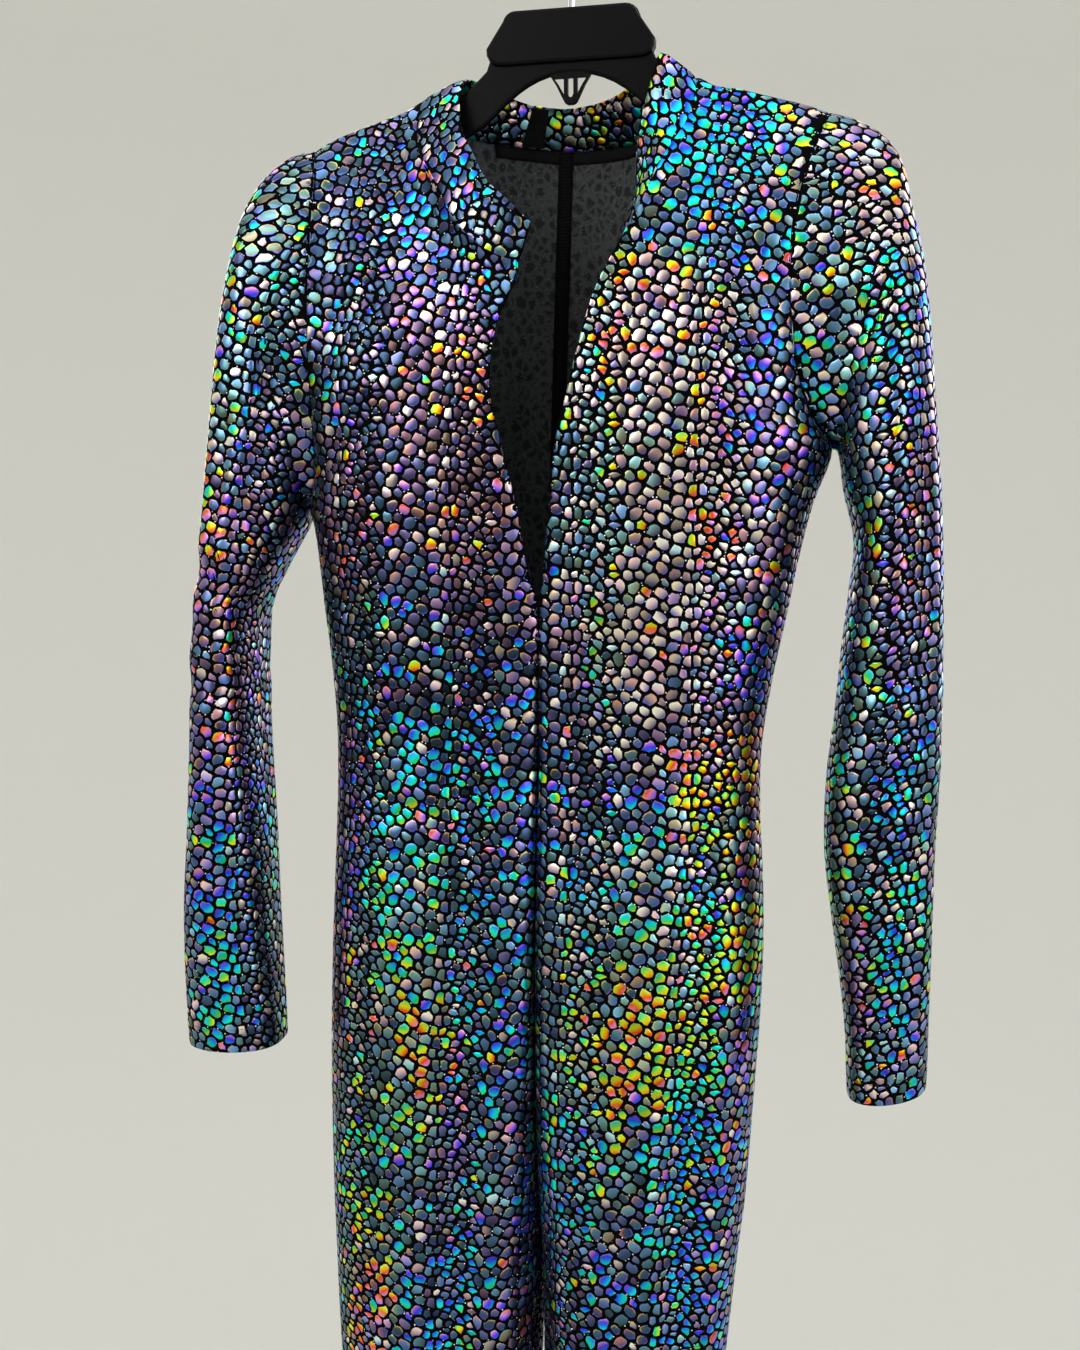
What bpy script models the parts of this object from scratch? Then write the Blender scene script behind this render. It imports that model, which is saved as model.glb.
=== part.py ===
"""A long-sleeved, long-legged unitard in stretch knit, hanging on a moulded hanger.

X runs to the wearer's left as seen from the front, Y to the back and Z up.
The origin is the point under the hook's crown that rests on a rail.
Tables are in millimetres and every row is one section, seam station or fold.
"""
from collections import namedtuple
import math

import bmesh
import bpy
from mathutils import Matrix, Vector

MM = 0.001

# Cloth and seams
WALL = 1.2
COLLAR_WALL = 2.2
SEAM = 0.3
SEAT = 0.9
RIDGE_RADIUS = 6.0
SEAM_START = 12.0
COLLAR_SEAT = 0.45
COLLAR_HEIGHT_TURNS = 3
TAB_THICKNESS = 1.0
TAB_STATION = 5

# Heights of the main stations, below the rail
OPENING_FOOT = -452.0
CROTCH = -872.0
ANKLE = -1607.0
UNDERARM = {"right": -352.0, "left": -396.0}

# Number of strips along and across the panels
NECK_COLUMNS = 7
SHOULDER_COLUMNS = 6
COLUMNS = NECK_COLUMNS + SHOULDER_COLUMNS
OPENING_ROWS = 4
YOKE_SHARES = (0.0, 0.008, 0.04, 0.11, 0.20, 0.30, 0.41, 0.53, 0.66, 0.78, 0.90)
NECK_SHARES = (0.0, 0.05, 0.18, 0.34, 0.51, 0.68, 0.84, 1.0)
YOKE_ROWS = len(YOKE_SHARES)
CHEST_ROWS = 3
TRUNK_ROWS = 14
LEG_ROWS = 15

# How square a section is towards its side seam, and how full the yoke and sleeves are
SIDE_POWER = 2.6
YOKE_FULLNESS = 0.85
YOKE_INNER_POWER = 3
YOKE_OUTER_POWER = 4
EASING_TURNS = 5
SLEEVE_SQUARENESS = 0.72

# The hanger, which leans a little because the garment hangs off its middle
HANGER_TILT = math.radians(2.2)
HANGER_PIVOT = -105.0
ARM_THICKNESS = 5.0
PLATE_THICKNESS = 11.0
LUG_THICKNESS = 3.6
HANGER_BEVEL = 1.9
WIRE_RADIUS = 1.9
HOOK_RADIUS = 22.0
HOOK_STEM_FOOT = -92.0

BodyRow = namedtuple("BodyRow", "height right left front_mid back_mid front back front_in back_in inner gap peak")
BODY = [
    BodyRow(-352, 170.5, 172.0, 0.0, -9.0, 58, 54, 50, 50, 5.0, 0, 0.42),
    BodyRow(-396, 158.0, 160.5, 0.0, -8.0, 57, 52, 50, 48, 5.0, 0, 0.42),
    BodyRow(-452, 148.5, 153.0, -1.2, -6.0, 53, 50, 46, 45, 5.0, 0, 0.42),
    BodyRow(-509, 139.2, 145.0, -1.0, -4.0, 48, 47, 39, 42, 5.0, 0, 0.42),
    BodyRow(-550, 136.2, 141.9, -0.6, -2.0, 47, 47, 36, 41, 5.0, 0, 0.42),
    BodyRow(-595, 138.6, 141.5, 0.0, 0.0, 49, 51, 36, 43, 5.0, 0, 0.42),
    BodyRow(-640, 142.6, 142.4, 0.5, 1.0, 52, 57, 36, 45, 4.7, 0, 0.42),
    BodyRow(-705, 143.8, 143.2, 1.6, 2.0, 55, 61, 33, 43, 4.4, 0, 0.43),
    BodyRow(-770, 142.0, 142.8, 3.0, 3.5, 56, 62, 27, 35, 4.0, 0, 0.45),
    BodyRow(-820, 140.5, 141.4, 4.4, 4.6, 56, 61, 19, 25, 3.7, 0, 0.46),
    BodyRow(-850, 139.0, 140.2, 5.4, 5.4, 56, 60, 11, 15, 3.5, 0, 0.47),
    BodyRow(-866, 137.6, 139.4, 5.9, 5.9, 56, 59, 5, 7, 3.4, 0, 0.48),
    BodyRow(-872, 137.0, 139.0, 6.1, 6.1, 56, 59, 0, 0, 3.3, 0, 0.48),
    BodyRow(-945, 132.2, 134.6, 8.6, 8.6, 55, 57, 0, 0, 3.0, 2.6, 0.49),
    BodyRow(-1100, 122.0, 124.0, 8.0, 8.0, 52, 53, 0, 0, 2.6, 7.0, 0.50),
    BodyRow(-1240, 113.0, 114.0, 6.0, 6.0, 48, 48, 0, 0, 2.3, 12.0, 0.50),
    BodyRow(-1400, 103.5, 104.0, 4.0, 4.0, 42, 43, 0, 0, 2.2, 20.0, 0.50),
    BodyRow(-1520, 97.0, 97.0, 3.0, 3.0, 37, 37, 0, 0, 2.0, 27.0, 0.50),
    BodyRow(-1607, 93.5, 93.0, 2.5, 2.5, 34, 34, 0, 0, 2.0, 31.0, 0.50),
]

OpeningRow = namedtuple("OpeningRow", "height left right depth")
OPENING = [
    OpeningRow(-233, -13.6, 42.5, 48),
    OpeningRow(-249, -18.4, 35.0, 50),
    OpeningRow(-265, -24.6, 27.4, 52),
    OpeningRow(-281, -29.8, 22.6, 53),
    OpeningRow(-305, -34.0, 17.4, 54),
    OpeningRow(-324, -33.2, 13.3, 55),
    OpeningRow(-345, -28.5, 8.2, 55),
    OpeningRow(-369, -21.0, 6.2, 54),
    OpeningRow(-393, -14.6, 4.2, 52),
    OpeningRow(-424, -9.0, 1.4, 49),
    OpeningRow(-452, -1.35, -1.05, 46),
]

CollarRow = namedtuple("CollarRow", "seam_x seam_y seam_z top_x top_y top_z")
COLLAR_LEFT_FRONT = [
    CollarRow(-18.4, -52.0, -249.0, -11.8, -52.0, -225.5),
    CollarRow(-35.6, -52.0, -241.7, -21.5, -50.5, -214.5),
    CollarRow(-53.4, -50.0, -232.0, -33.5, -48.0, -208.5),
    CollarRow(-61.5, -46.0, -218.0, -38.5, -45.0, -203.0),
    CollarRow(-72.6, -38.0, -200.2, -45.5, -40.0, -191.5),
    CollarRow(-84.0, -28.0, -184.0, -56.5, -30.0, -173.5),
    CollarRow(-92.0, -16.0, -168.0, -64.0, -20.0, -159.0),
    CollarRow(-93.5, -9.0, -148.0, -66.5, -10.0, -136.0),
]
COLLAR_BACK = [
    CollarRow(-92.0, 0.0, -141.5, -66.0, 0.0, -128.0),
    CollarRow(-83.0, 15.0, -149.5, -59.5, 13.0, -127.0),
    CollarRow(-70.0, 31.0, -156.0, -50.0, 26.0, -129.8),
    CollarRow(-53.0, 43.0, -157.5, -39.0, 36.0, -132.5),
    CollarRow(-33.0, 49.5, -159.0, -27.0, 42.0, -134.5),
    CollarRow(-9.0, 51.5, -161.0, -9.0, 43.5, -136.0),
    CollarRow(14.0, 48.0, -161.0, 11.5, 39.0, -134.6),
    CollarRow(38.0, 38.0, -159.5, 29.0, 28.0, -131.0),
    CollarRow(57.0, 25.0, -153.5, 42.0, 17.5, -125.4),
    CollarRow(70.0, 12.0, -142.5, 51.0, 8.0, -119.0),
    CollarRow(77.5, 0.0, -131.5, 56.5, 0.0, -115.5),
]
COLLAR_RIGHT_FRONT = [
    CollarRow(79.0, -8.0, -136.5, 55.0, -6.5, -120.0),
    CollarRow(78.5, -15.0, -150.0, 51.0, -10.5, -137.0),
    CollarRow(74.0, -22.5, -164.0, 47.5, -12.5, -153.0),
    CollarRow(65.5, -32.0, -180.5, 44.0, -14.0, -170.5),
    CollarRow(58.8, -38.0, -195.5, 44.5, -16.5, -185.5),
    CollarRow(52.0, -44.0, -212.5, 45.5, -20.5, -199.0),
    CollarRow(42.5, -48.0, -233.0, 42.8, -26.0, -216.0),
]

ArmholeRow = namedtuple("ArmholeRow", "x depth z")
ARMHOLE = {
    "right": [
        ArmholeRow(156.5, 8, -157.5),
        ArmholeRow(151.5, 20, -173),
        ArmholeRow(143.5, 32, -205),
        ArmholeRow(140.5, 38, -240),
        ArmholeRow(142.5, 38, -280),
        ArmholeRow(150.5, 29, -318),
        ArmholeRow(162.0, 15, -342),
        ArmholeRow(170.5, 0, -352),
    ],
    "left": [
        ArmholeRow(-161.5, 8, -174.0),
        ArmholeRow(-157.5, 20, -190),
        ArmholeRow(-154.8, 32, -222),
        ArmholeRow(-154.5, 38, -258),
        ArmholeRow(-154.0, 38, -306),
        ArmholeRow(-152.5, 29, -350),
        ArmholeRow(-155.0, 15, -383),
        ArmholeRow(-160.5, 0, -396),
    ],
}
ARMHOLE_TOP = {"right": 158.0, "left": -163.0}

SleeveRow = namedtuple("SleeveRow", "outer_x outer_z inner_x inner_z depth forward")
SLEEVE = {
    "right": [
        SleeveRow(176.5, -159.6, 173.6, -353, 44, 0),
        SleeveRow(191.5, -169.0, 175.0, -357, 45, 0),
        SleeveRow(202.0, -184.0, 176.3, -363, 46, 0),
        SleeveRow(209.0, -209.0, 177.8, -373, 47, 0),
        SleeveRow(217.5, -240.0, 181.0, -386, 47, -1),
        SleeveRow(222.8, -272.0, 185.2, -400, 47, -2),
        SleeveRow(227.0, -306.0, 186.8, -417, 46, -3),
        SleeveRow(231.6, -342.0, 185.2, -434, 45, -4),
        SleeveRow(236.0, -380.0, 183.6, -455, 44, -5),
        SleeveRow(240.0, -430.0, 182.0, -482, 43, -6),
        SleeveRow(243.0, -490.0, 180.2, -515, 42, -7),
        SleeveRow(244.8, -548.0, 177.4, -556, 41, -8),
        SleeveRow(244.8, -600.0, 178.6, -600, 39, -8),
        SleeveRow(245.8, -648.0, 185.8, -646, 37, -8),
        SleeveRow(247.0, -690.0, 193.6, -690, 34, -7),
        SleeveRow(248.2, -721.0, 198.2, -724, 32, -6),
        SleeveRow(248.7, -746.0, 200.8, -757, 30, -6),
    ],
    "left": [
        SleeveRow(-178.5, -174.3, -163.6, -397, 45, 0),
        SleeveRow(-190.5, -183.5, -165.0, -400, 46, 0),
        SleeveRow(-200.0, -196.0, -167.0, -405, 46, 0),
        SleeveRow(-206.6, -212.0, -170.2, -412, 47, 0),
        SleeveRow(-213.5, -238.0, -174.6, -421, 47, -1),
        SleeveRow(-218.6, -270.0, -180.6, -432, 47, -2),
        SleeveRow(-221.9, -306.0, -187.0, -444, 46, -3),
        SleeveRow(-224.8, -346.0, -193.0, -457, 45, -4),
        SleeveRow(-228.2, -390.0, -197.6, -473, 44, -5),
        SleeveRow(-232.6, -440.0, -197.8, -494, 43, -6),
        SleeveRow(-237.4, -500.0, -196.2, -524, 41, -7),
        SleeveRow(-238.6, -560.0, -193.2, -566, 40, -8),
        SleeveRow(-241.0, -610.0, -189.6, -610, 38, -8),
        SleeveRow(-244.4, -660.0, -186.2, -658, 36, -8),
        SleeveRow(-245.1, -702.0, -183.2, -700, 34, -7),
        SleeveRow(-244.6, -736.0, -181.0, -732, 32, -6),
        SleeveRow(-243.2, -764.0, -179.0, -761, 30, -6),
    ],
}

Fold = namedtuple("Fold", "top_x foot_x top foot depth width")
FOLDS = {
    "front_left": [Fold(-31, -44, -560, -1120, 9, 15), Fold(-104, -96, -640, -1010, 4, 13)],
    "front_right": [Fold(104, 100, -560, -960, 5, 14), Fold(44, 54, -960, -1380, 5, 13)],
    "back_left": [Fold(-62, -58, -600, -1080, 8, 16), Fold(-96, -70, -250, -480, 6, 16)],
    "back_right": [Fold(48, 66, -640, -1180, 8, 15), Fold(92, 74, -280, -520, 6, 16)],
}
SLEEVE_FOLDS = {
    "right": [Fold(0.30, 0.34, 0.30, 0.72, 4, 0.09), Fold(1.34, 1.26, 0.25, 0.75, 5, 0.10)],
    "left": [Fold(0.46, 0.40, 0.22, 0.62, 5, 0.10), Fold(1.42, 1.50, 0.30, 0.80, 5, 0.10)],
}

# The hanger's outline from its middle to one end, before it leans
HangerRow = namedtuple("HangerRow", "x top")
ARM_TOP = [
    HangerRow(53.0, -122.8),
    HangerRow(64.0, -132.9),
    HangerRow(76.0, -140.0),
    HangerRow(94.0, -142.5),
    HangerRow(128.0, -152.2),
    HangerRow(150.0, -159.2),
    HangerRow(168.0, -167.8),
]
ARM_END = 178.0
ARM_FOOT_AT_END = -184.0
ARM_FOOT_AT_PLATE = -162.0
ARM_FOOT_X = 66.0
ARCH_HALF_WIDTH = 40.0
ARCH_CROWN = -127.0
ARCH_FOOT = -143.0
PLATE_TOP = -88.0
PLATE_FOOT = -121.0
PLATE_HALF_TOP = 43.0
PLATE_HALF_FOOT = 52.5
PLATE_CORNER = 9.0
LUG_FOOT = -145.5
LUG_HALF_TOP = 13.5
LUG_HALF_FOOT = 5.2
LUG_BAR = 2.5


def clear_scene():
    for item in list(bpy.data.objects):
        bpy.data.objects.remove(item, do_unlink=True)


def smooth_value(stations, values, at):
    """A cubic through the values, with slopes taken from the neighbours."""
    last = len(stations) - 1
    falling = stations[0] > stations[-1]
    keys = [-s for s in stations] if falling else list(stations)
    at = -at if falling else at
    at = min(max(at, keys[0]), keys[-1])
    index = 0
    while index < last - 1 and at > keys[index + 1]:
        index += 1
    span = keys[index + 1] - keys[index]

    def slope(i):
        low, high = max(i - 1, 0), min(i + 1, last)
        return (values[high] - values[low]) / (keys[high] - keys[low])

    t = (at - keys[index]) / span
    start, end = values[index], values[index + 1]
    rise, fall = slope(index) * span, slope(index + 1) * span
    return (
        start * (1 - 3 * t * t + 2 * t * t * t)
        + end * (3 * t * t - 2 * t * t * t)
        + rise * (t - 2 * t * t + t * t * t)
        + fall * (t * t * t - t * t)
    )


def read(table, column, height):
    """The value of one column of a table of heights."""
    return smooth_value([row.height for row in table], [getattr(row, column) for row in table], height)


class Path:
    """A smooth line through points, read by the share of its length."""

    def __init__(self, points):
        self.points = [Vector(p) for p in points]
        self.marks = [0.0]
        for a, b in zip(self.points, self.points[1:]):
            self.marks.append(self.marks[-1] + (b - a).length)

    def at(self, share):
        distance = share * self.marks[-1]
        return Vector([smooth_value(self.marks, [p[axis] for p in self.points], distance) for axis in range(3)])


def lean(x, z):
    """A point of the hanger's plane after it has leaned about its pivot."""
    height = z - HANGER_PIVOT
    turned_x = x * math.cos(HANGER_TILT) - height * math.sin(HANGER_TILT)
    turned_z = x * math.sin(HANGER_TILT) + height * math.cos(HANGER_TILT)
    return turned_x, turned_z + HANGER_PIVOT


def arm_top(x):
    return smooth_value([row.x for row in ARM_TOP], [row.top for row in ARM_TOP], abs(x))


def ridge_height(x):
    """The top of the leaning arm at a distance from the garment's middle."""
    along = x
    for _ in range(4):
        along = (x + (arm_top(along) - HANGER_PIVOT) * math.sin(HANGER_TILT)) / math.cos(HANGER_TILT)
    return lean(along, arm_top(along))[1]


def shoulder_seam(side):
    """The seam that lies along the hanger's arm, from the neck to the sleeve."""
    sign = 1 if side == "right" else -1
    neck = COLLAR_BACK[-1] if side == "right" else COLLAR_BACK[0]
    points = [(neck.seam_x, 0.0, neck.seam_z)]
    tip = ARMHOLE_TOP[side]
    start = abs(neck.seam_x) + SEAM_START
    for step in range(SHOULDER_COLUMNS):
        x = sign * (start + (abs(tip) - start) * step / (SHOULDER_COLUMNS - 1))
        points.append((x, 0.0, ridge_height(x) + WALL + SEAT))
    return Path(points)


def collar_paths(rows):
    seam = Path([(r.seam_x, r.seam_y, r.seam_z) for r in rows])
    top = Path([(r.top_x, r.top_y, r.top_z) for r in rows])
    return seam, top


COLLAR_SPANS = [
    COLLAR_LEFT_FRONT + COLLAR_BACK[:1],
    COLLAR_BACK[:6],
    COLLAR_BACK[5:],
    COLLAR_BACK[-1:] + COLLAR_RIGHT_FRONT,
]


def collar_stations():
    """Pairs of points on the neck seam and the collar's top edge, all the way round."""
    pairs = []
    from_shoulder = list(NECK_SHARES)
    to_shoulder = [1 - share for share in reversed(NECK_SHARES)]
    even = [step / NECK_COLUMNS for step in range(NECK_COLUMNS + 1)]
    for rows, shares in zip(COLLAR_SPANS, (to_shoulder, even, even, from_shoulder)):
        seam, top = collar_paths(rows)
        for share in shares[1:] if pairs else shares:
            pairs.append((seam.at(share), top.at(share)))
    return pairs


def neck_edge(panel, side):
    """The neck seam's points on one panel, from the centre to the shoulder."""
    points = [pair[0] for pair in collar_stations()]
    quarter = NECK_COLUMNS
    if panel == "front":
        run = points[: quarter + 1] if side == "left" else points[3 * quarter:][::-1]
    else:
        run = points[quarter: 2 * quarter + 1][::-1] if side == "left" else points[2 * quarter: 3 * quarter + 1]
    return run


def armhole(panel, side):
    """The armhole from the shoulder seam down to the underarm."""
    tip = ARMHOLE_TOP[side]
    sign = -1 if panel == "front" else 1
    points = [(tip, 0.0, ridge_height(tip) + WALL + SEAT)]
    points += [(row.x, sign * row.depth, row.z) for row in ARMHOLE[side]]
    return Path(points)


def side_seam(side, height):
    return read(BODY, side, height) * (1 if side == "right" else -1)


def inner_edge(panel, side, height):
    """Where a panel ends at the middle: opening edge, centre seam or inseam."""
    sign = 1 if side == "right" else -1
    half_seam = SEAM / 2
    front = panel == "front"
    if front and height > OPENING_FOOT + 0.01:
        return Vector((read(OPENING, side, height), -read(OPENING, "depth", height), height))
    middle = read(BODY, "front_mid" if front else "back_mid", height)
    depth = max(read(BODY, "front_in" if front else "back_in", height), half_seam)
    half_gap = half_seam
    if height < CROTCH - 0.01:
        half_gap = max(half_seam, read(BODY, "gap", height) / 2)
        depth = half_seam
    return Vector((middle + sign * half_gap, -depth if front else depth, height))


def section(panel, side, height):
    """One level line of a panel, from its inner edge round to the side seam."""
    front = panel == "front"
    start = inner_edge(panel, side, height)
    outer_x = side_seam(side, height)
    depth = read(BODY, "front" if front else "back", height)
    inner_power = read(BODY, "inner", height)
    peak = read(BODY, "peak", height)
    rise = abs(start.y)
    line = []
    for column in range(COLUMNS + 1):
        angle = math.pi * column / COLUMNS
        if angle <= math.pi / 2:
            reach = math.cos(angle)
            share = peak * (1 - reach)
            bulge = rise + (depth - rise) * math.sqrt(max(0.0, 1 - reach ** inner_power))
        else:
            reach = -math.cos(angle)
            share = peak + (1 - peak) * reach
            bulge = depth * math.sqrt(max(0.0, 1 - reach ** SIDE_POWER))
        if column == COLUMNS:
            bulge = 0.0
        bulge = max(bulge, SEAM / 2)
        x = start.x + (outer_x - start.x) * share
        line.append(Vector((x, -bulge if front else bulge, height)))
    line[0] = start
    return line


def fold_push(folds, point):
    """How far the folds pull one point of a panel inwards."""
    push = 0.0
    for fold in folds:
        along = (fold.top - point.z) / (fold.top - fold.foot)
        if 0 < along < 1:
            centre = fold.top_x + (fold.foot_x - fold.top_x) * along
            across = (point.x - centre) / fold.width
            push += fold.depth * math.sin(math.pi * along) ** 0.7 * math.exp(-across * across)
    return push


def loft(top, foot, share):
    """A point between the top edge and the underarm line, fullest in the middle."""
    point = top.lerp(foot, share)
    point.y = top.y + (foot.y - top.y) * math.sin(math.pi / 2 * share) ** YOKE_FULLNESS
    return point


def yoke_edges(panel, side, foot_line):
    """The yoke's top edge and its inner edge, point by point."""
    neck = [point.copy() for point in neck_edge(panel, side)]
    shoulder = shoulder_seam(side)
    foot = foot_line[0].z
    if panel == "front":
        inner = neck[::-1]
        fall = foot - neck[0].z
        for row in range(1, OPENING_ROWS):
            inner.append(inner_edge(panel, side, neck[0].z + fall * row / OPENING_ROWS))
        return [shoulder.at(step / COLUMNS) for step in range(COLUMNS + 1)], inner
    neck[0].x += SEAM if side == "right" else -SEAM
    top = neck + [shoulder.at(step / SHOULDER_COLUMNS) for step in range(1, SHOULDER_COLUMNS + 1)]
    fall = foot - neck[0].z
    inner = neck[:1] + [inner_edge(panel, side, neck[0].z + fall * share) for share in YOKE_SHARES[1:]]
    return top, inner


def yoke(panel, side, foot_line):
    """The part above the underarm, blended between its four edges."""
    top, inner = yoke_edges(panel, side, foot_line)
    hole = armhole(panel, side)
    rows = []
    for share, start in zip(YOKE_SHARES, inner):
        outer = hole.at(share)
        pull_in = start - loft(top[0], foot_line[0], share)
        pull_out = outer - loft(top[-1], foot_line[-1], share)
        line = []
        for column in range(COLUMNS + 1):
            across = column / COLUMNS
            near = Vector((1 - across, (1 - across) ** YOKE_INNER_POWER, 1 - across))
            far = Vector((across, across ** YOKE_OUTER_POWER, across))
            line.append(loft(top[column], foot_line[column], share) + pull_in * near + pull_out * far)
        line[0], line[-1] = start.copy(), outer.copy()
        rows.append(line)
    rows[0] = [point.copy() for point in top]
    return rows


def ease_depth(rows):
    """Evens the depth where the yoke runs into the chest."""
    for _ in range(EASING_TURNS):
        before = [[point.y for point in line] for line in rows]
        for r in range(2, YOKE_ROWS + CHEST_ROWS + 1):
            for c in range(1, COLUMNS):
                around = before[r - 1][c] + before[r + 1][c] + before[r][c - 1] + before[r][c + 1]
                rows[r][c].y = (before[r][c] + around / 4) / 2


def clear_ridge(rows, first, side_of):
    """Keeps the cloth round the hanger's arm next to the shoulder seam."""
    for line in rows[1:YOKE_ROWS]:
        for column in range(max(first, 1), COLUMNS):
            over = line[column]
            drop = min(max(ridge_height(over.x) + WALL + SEAT - over.z, 0.0), RIDGE_RADIUS)
            room = math.sqrt(2 * RIDGE_RADIUS * drop - drop * drop)
            room *= 0.8 if column == first else 1.0
            over.y = side_of * max(abs(over.y), room)


def lower_heights(side):
    """Levels from the underarm to the ankle, closer together near the crotch."""
    foot = UNDERARM[side]
    heights = [foot + (OPENING_FOOT - foot) * row / CHEST_ROWS for row in range(CHEST_ROWS)]
    for row in range(TRUNK_ROWS):
        share = 1 - (1 - row / TRUNK_ROWS) ** 1.5
        heights.append(OPENING_FOOT + (CROTCH - OPENING_FOOT) * share)
    for row in range(LEG_ROWS + 1):
        heights.append(CROTCH + (ANKLE - CROTCH) * (row / LEG_ROWS) ** 1.25)
    return heights


def shoulder_start(panel):
    """The column at which the top row reaches the shoulder seam."""
    return 0 if panel == "front" else NECK_COLUMNS


def panel_points(panel, side):
    """All rows of one panel's outer face, from the neck down to the ankle."""
    lower = [section(panel, side, height) for height in lower_heights(side)]
    rows = yoke(panel, side, lower[0]) + lower
    into = 1 if panel == "front" else -1
    half_seam = SEAM / 2
    folds = FOLDS[f"{panel}_{side}"]
    first = shoulder_start(panel)
    ease_depth(rows)
    clear_ridge(rows, first, -into)
    for line in rows:
        for number, point in enumerate(line):
            if 0 < number < COLUMNS:
                room = max(0.0, abs(point.y) - 12) / 20
                point.y += into * fold_push(folds, point) * min(1.0, room)
        line[-1].y = -into * max(abs(line[-1].y), half_seam)
    for point in rows[0][first:]:
        point.y = -into * half_seam
    return rows


def grid_normals(rows, closed, outward):
    """Unit normals of a grid of points, turned to the outside."""
    count, width = len(rows), len(rows[0])
    normals = []
    for r in range(count):
        line = []
        for c in range(width):
            along = rows[min(r + 1, count - 1)][c] - rows[max(r - 1, 0)][c]
            left = (c - 1) % width if closed else max(c - 1, 0)
            right = (c + 1) % width if closed else min(c + 1, width - 1)
            across = rows[r][right] - rows[r][left]
            normal = across.cross(along)
            if normal.length < 1e-9:
                normal = outward(r, c)
            normal.normalize()
            line.append(normal)
        normals.append(line)
    middle = normals[count // 2][width // 2]
    if middle.dot(outward(count // 2, width // 2)) < 0:
        normals = [[-n for n in line] for line in normals]
    return normals


def flatten(normal, axes):
    """A normal kept in the plane of the seam that it lies on."""
    level = normal.copy()
    for axis in axes:
        level[axis] = 0.0
    return level.normalized() if level.length > 0.05 else normal


def inset(rows, normals, thickness):
    return [[p - n * thickness for p, n in zip(line, norm)] for line, norm in zip(rows, normals)]


def wall_mesh(name, outer, inner, closed):
    """A closed wall between two grids of points."""
    mesh = bpy.data.meshes.new(name)
    shell = bmesh.new()
    skins = [[[shell.verts.new(point * MM) for point in line] for line in grid] for grid in (outer, inner)]
    count, width = len(outer), len(outer[0])
    strips = width if closed else width - 1
    for r in range(count - 1):
        for c in range(strips):
            d = (c + 1) % width
            for skin, flip in ((skins[0], False), (skins[1], True)):
                quad = [skin[r][c], skin[r + 1][c], skin[r + 1][d], skin[r][d]]
                shell.faces.new(quad[::-1] if flip else quad)
    edges = [(0, c, 0, (c + 1) % width) for c in range(strips)]
    edges += [(count - 1, (c + 1) % width, count - 1, c) for c in range(strips)]
    if not closed:
        edges += [(r + 1, 0, r, 0) for r in range(count - 1)]
        edges += [(r, width - 1, r + 1, width - 1) for r in range(count - 1)]
    for r0, c0, r1, c1 in edges:
        shell.faces.new([skins[0][r0][c0], skins[0][r1][c1], skins[1][r1][c1], skins[1][r0][c0]])
    bmesh.ops.recalc_face_normals(shell, faces=shell.faces)
    bmesh.ops.triangulate(shell, faces=shell.faces)
    shell.to_mesh(mesh)
    shell.free()
    mesh.shade_smooth()
    mesh.set_sharp_from_angle(angle=math.radians(50))
    item = bpy.data.objects.new(name, mesh)
    bpy.context.scene.collection.objects.link(item)
    return item


def build_panel(panel, side):
    rows = panel_points(panel, side)
    facing = Vector((0, -1 if panel == "front" else 1, 0))
    normals = grid_normals(rows, False, lambda r, c: facing)
    first_lower = YOKE_ROWS
    for r, line in enumerate(rows):
        height = line[0].z
        if height < CROTCH - 1:
            normals[r][0] = flatten(normals[r][0], (1,))
        elif height < CROTCH + 1:
            normals[r][0] = Vector((0, 0, -1))
        elif panel == "back" or height < OPENING_FOOT + 1:
            normals[r][0] = flatten(normals[r][0], (0,))
        normals[r][-1] = flatten(normals[r][-1], (0,) if r < first_lower else (1,))
    for c in range(shoulder_start(panel), COLUMNS + 1):
        normals[0][c] = Vector((0, 0, 1))
    inner = inset(rows, normals, WALL)
    return wall_mesh(f"{panel}_{side}", rows, inner, False)


def sleeve_loop(side):
    """The armhole's points, front first, from the shoulder and back to it."""
    front, back = armhole("front", side), armhole("back", side)
    shares = YOKE_SHARES + (1.0,)
    loop = [front.at(share) for share in shares]
    loop += [back.at(share) for share in shares[-2:0:-1]]
    return loop


def sleeve_rings(side):
    sign = 1 if side == "right" else -1
    loop = sleeve_loop(side)
    first = [point + Vector((sign * SEAM, 0, 0)) for point in loop]
    top, foot = first[0], first[YOKE_ROWS]
    axis = foot - top
    rings = [first]
    width = len(first)
    for number, row in enumerate(SLEEVE[side]):
        keep = max(0.0, 0.75 - 0.25 * number)
        outer = Vector((row.outer_x, row.forward, row.outer_z))
        inner = Vector((row.inner_x, row.forward, row.inner_z))
        ring = []
        for k in range(width):
            angle = 2 * math.pi * k / width
            share = (1 - math.cos(angle)) / 2
            round_point = outer.lerp(inner, share)
            turn = math.sin(angle)
            round_point.y -= row.depth * math.copysign(abs(turn) ** SLEEVE_SQUARENESS, turn)
            along = (loop[k] - loop[0]).dot(axis) / axis.dot(axis)
            sewn_point = outer.lerp(inner, along)
            sewn_point.y += loop[k].y
            ring.append(round_point.lerp(sewn_point, keep))
        rings.append(ring)
    count = len(rings)
    for r in range(3, count):
        for k in range(width):
            turn = 2 * k / width
            along = r / (count - 1)
            push = 0.0
            for fold in SLEEVE_FOLDS[side]:
                share = (along - fold.top) / (fold.foot - fold.top)
                if 0 < share < 1:
                    centre = fold.top_x + (fold.foot_x - fold.top_x) * share
                    push += fold.depth * math.sin(math.pi * share) * math.exp(-(((turn - centre) / fold.width) ** 2))
            middle = (rings[r][0] + rings[r][width // 2]) / 2
            inward = (middle - rings[r][k]).normalized()
            rings[r][k] = rings[r][k] + inward * push
    return rings


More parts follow.
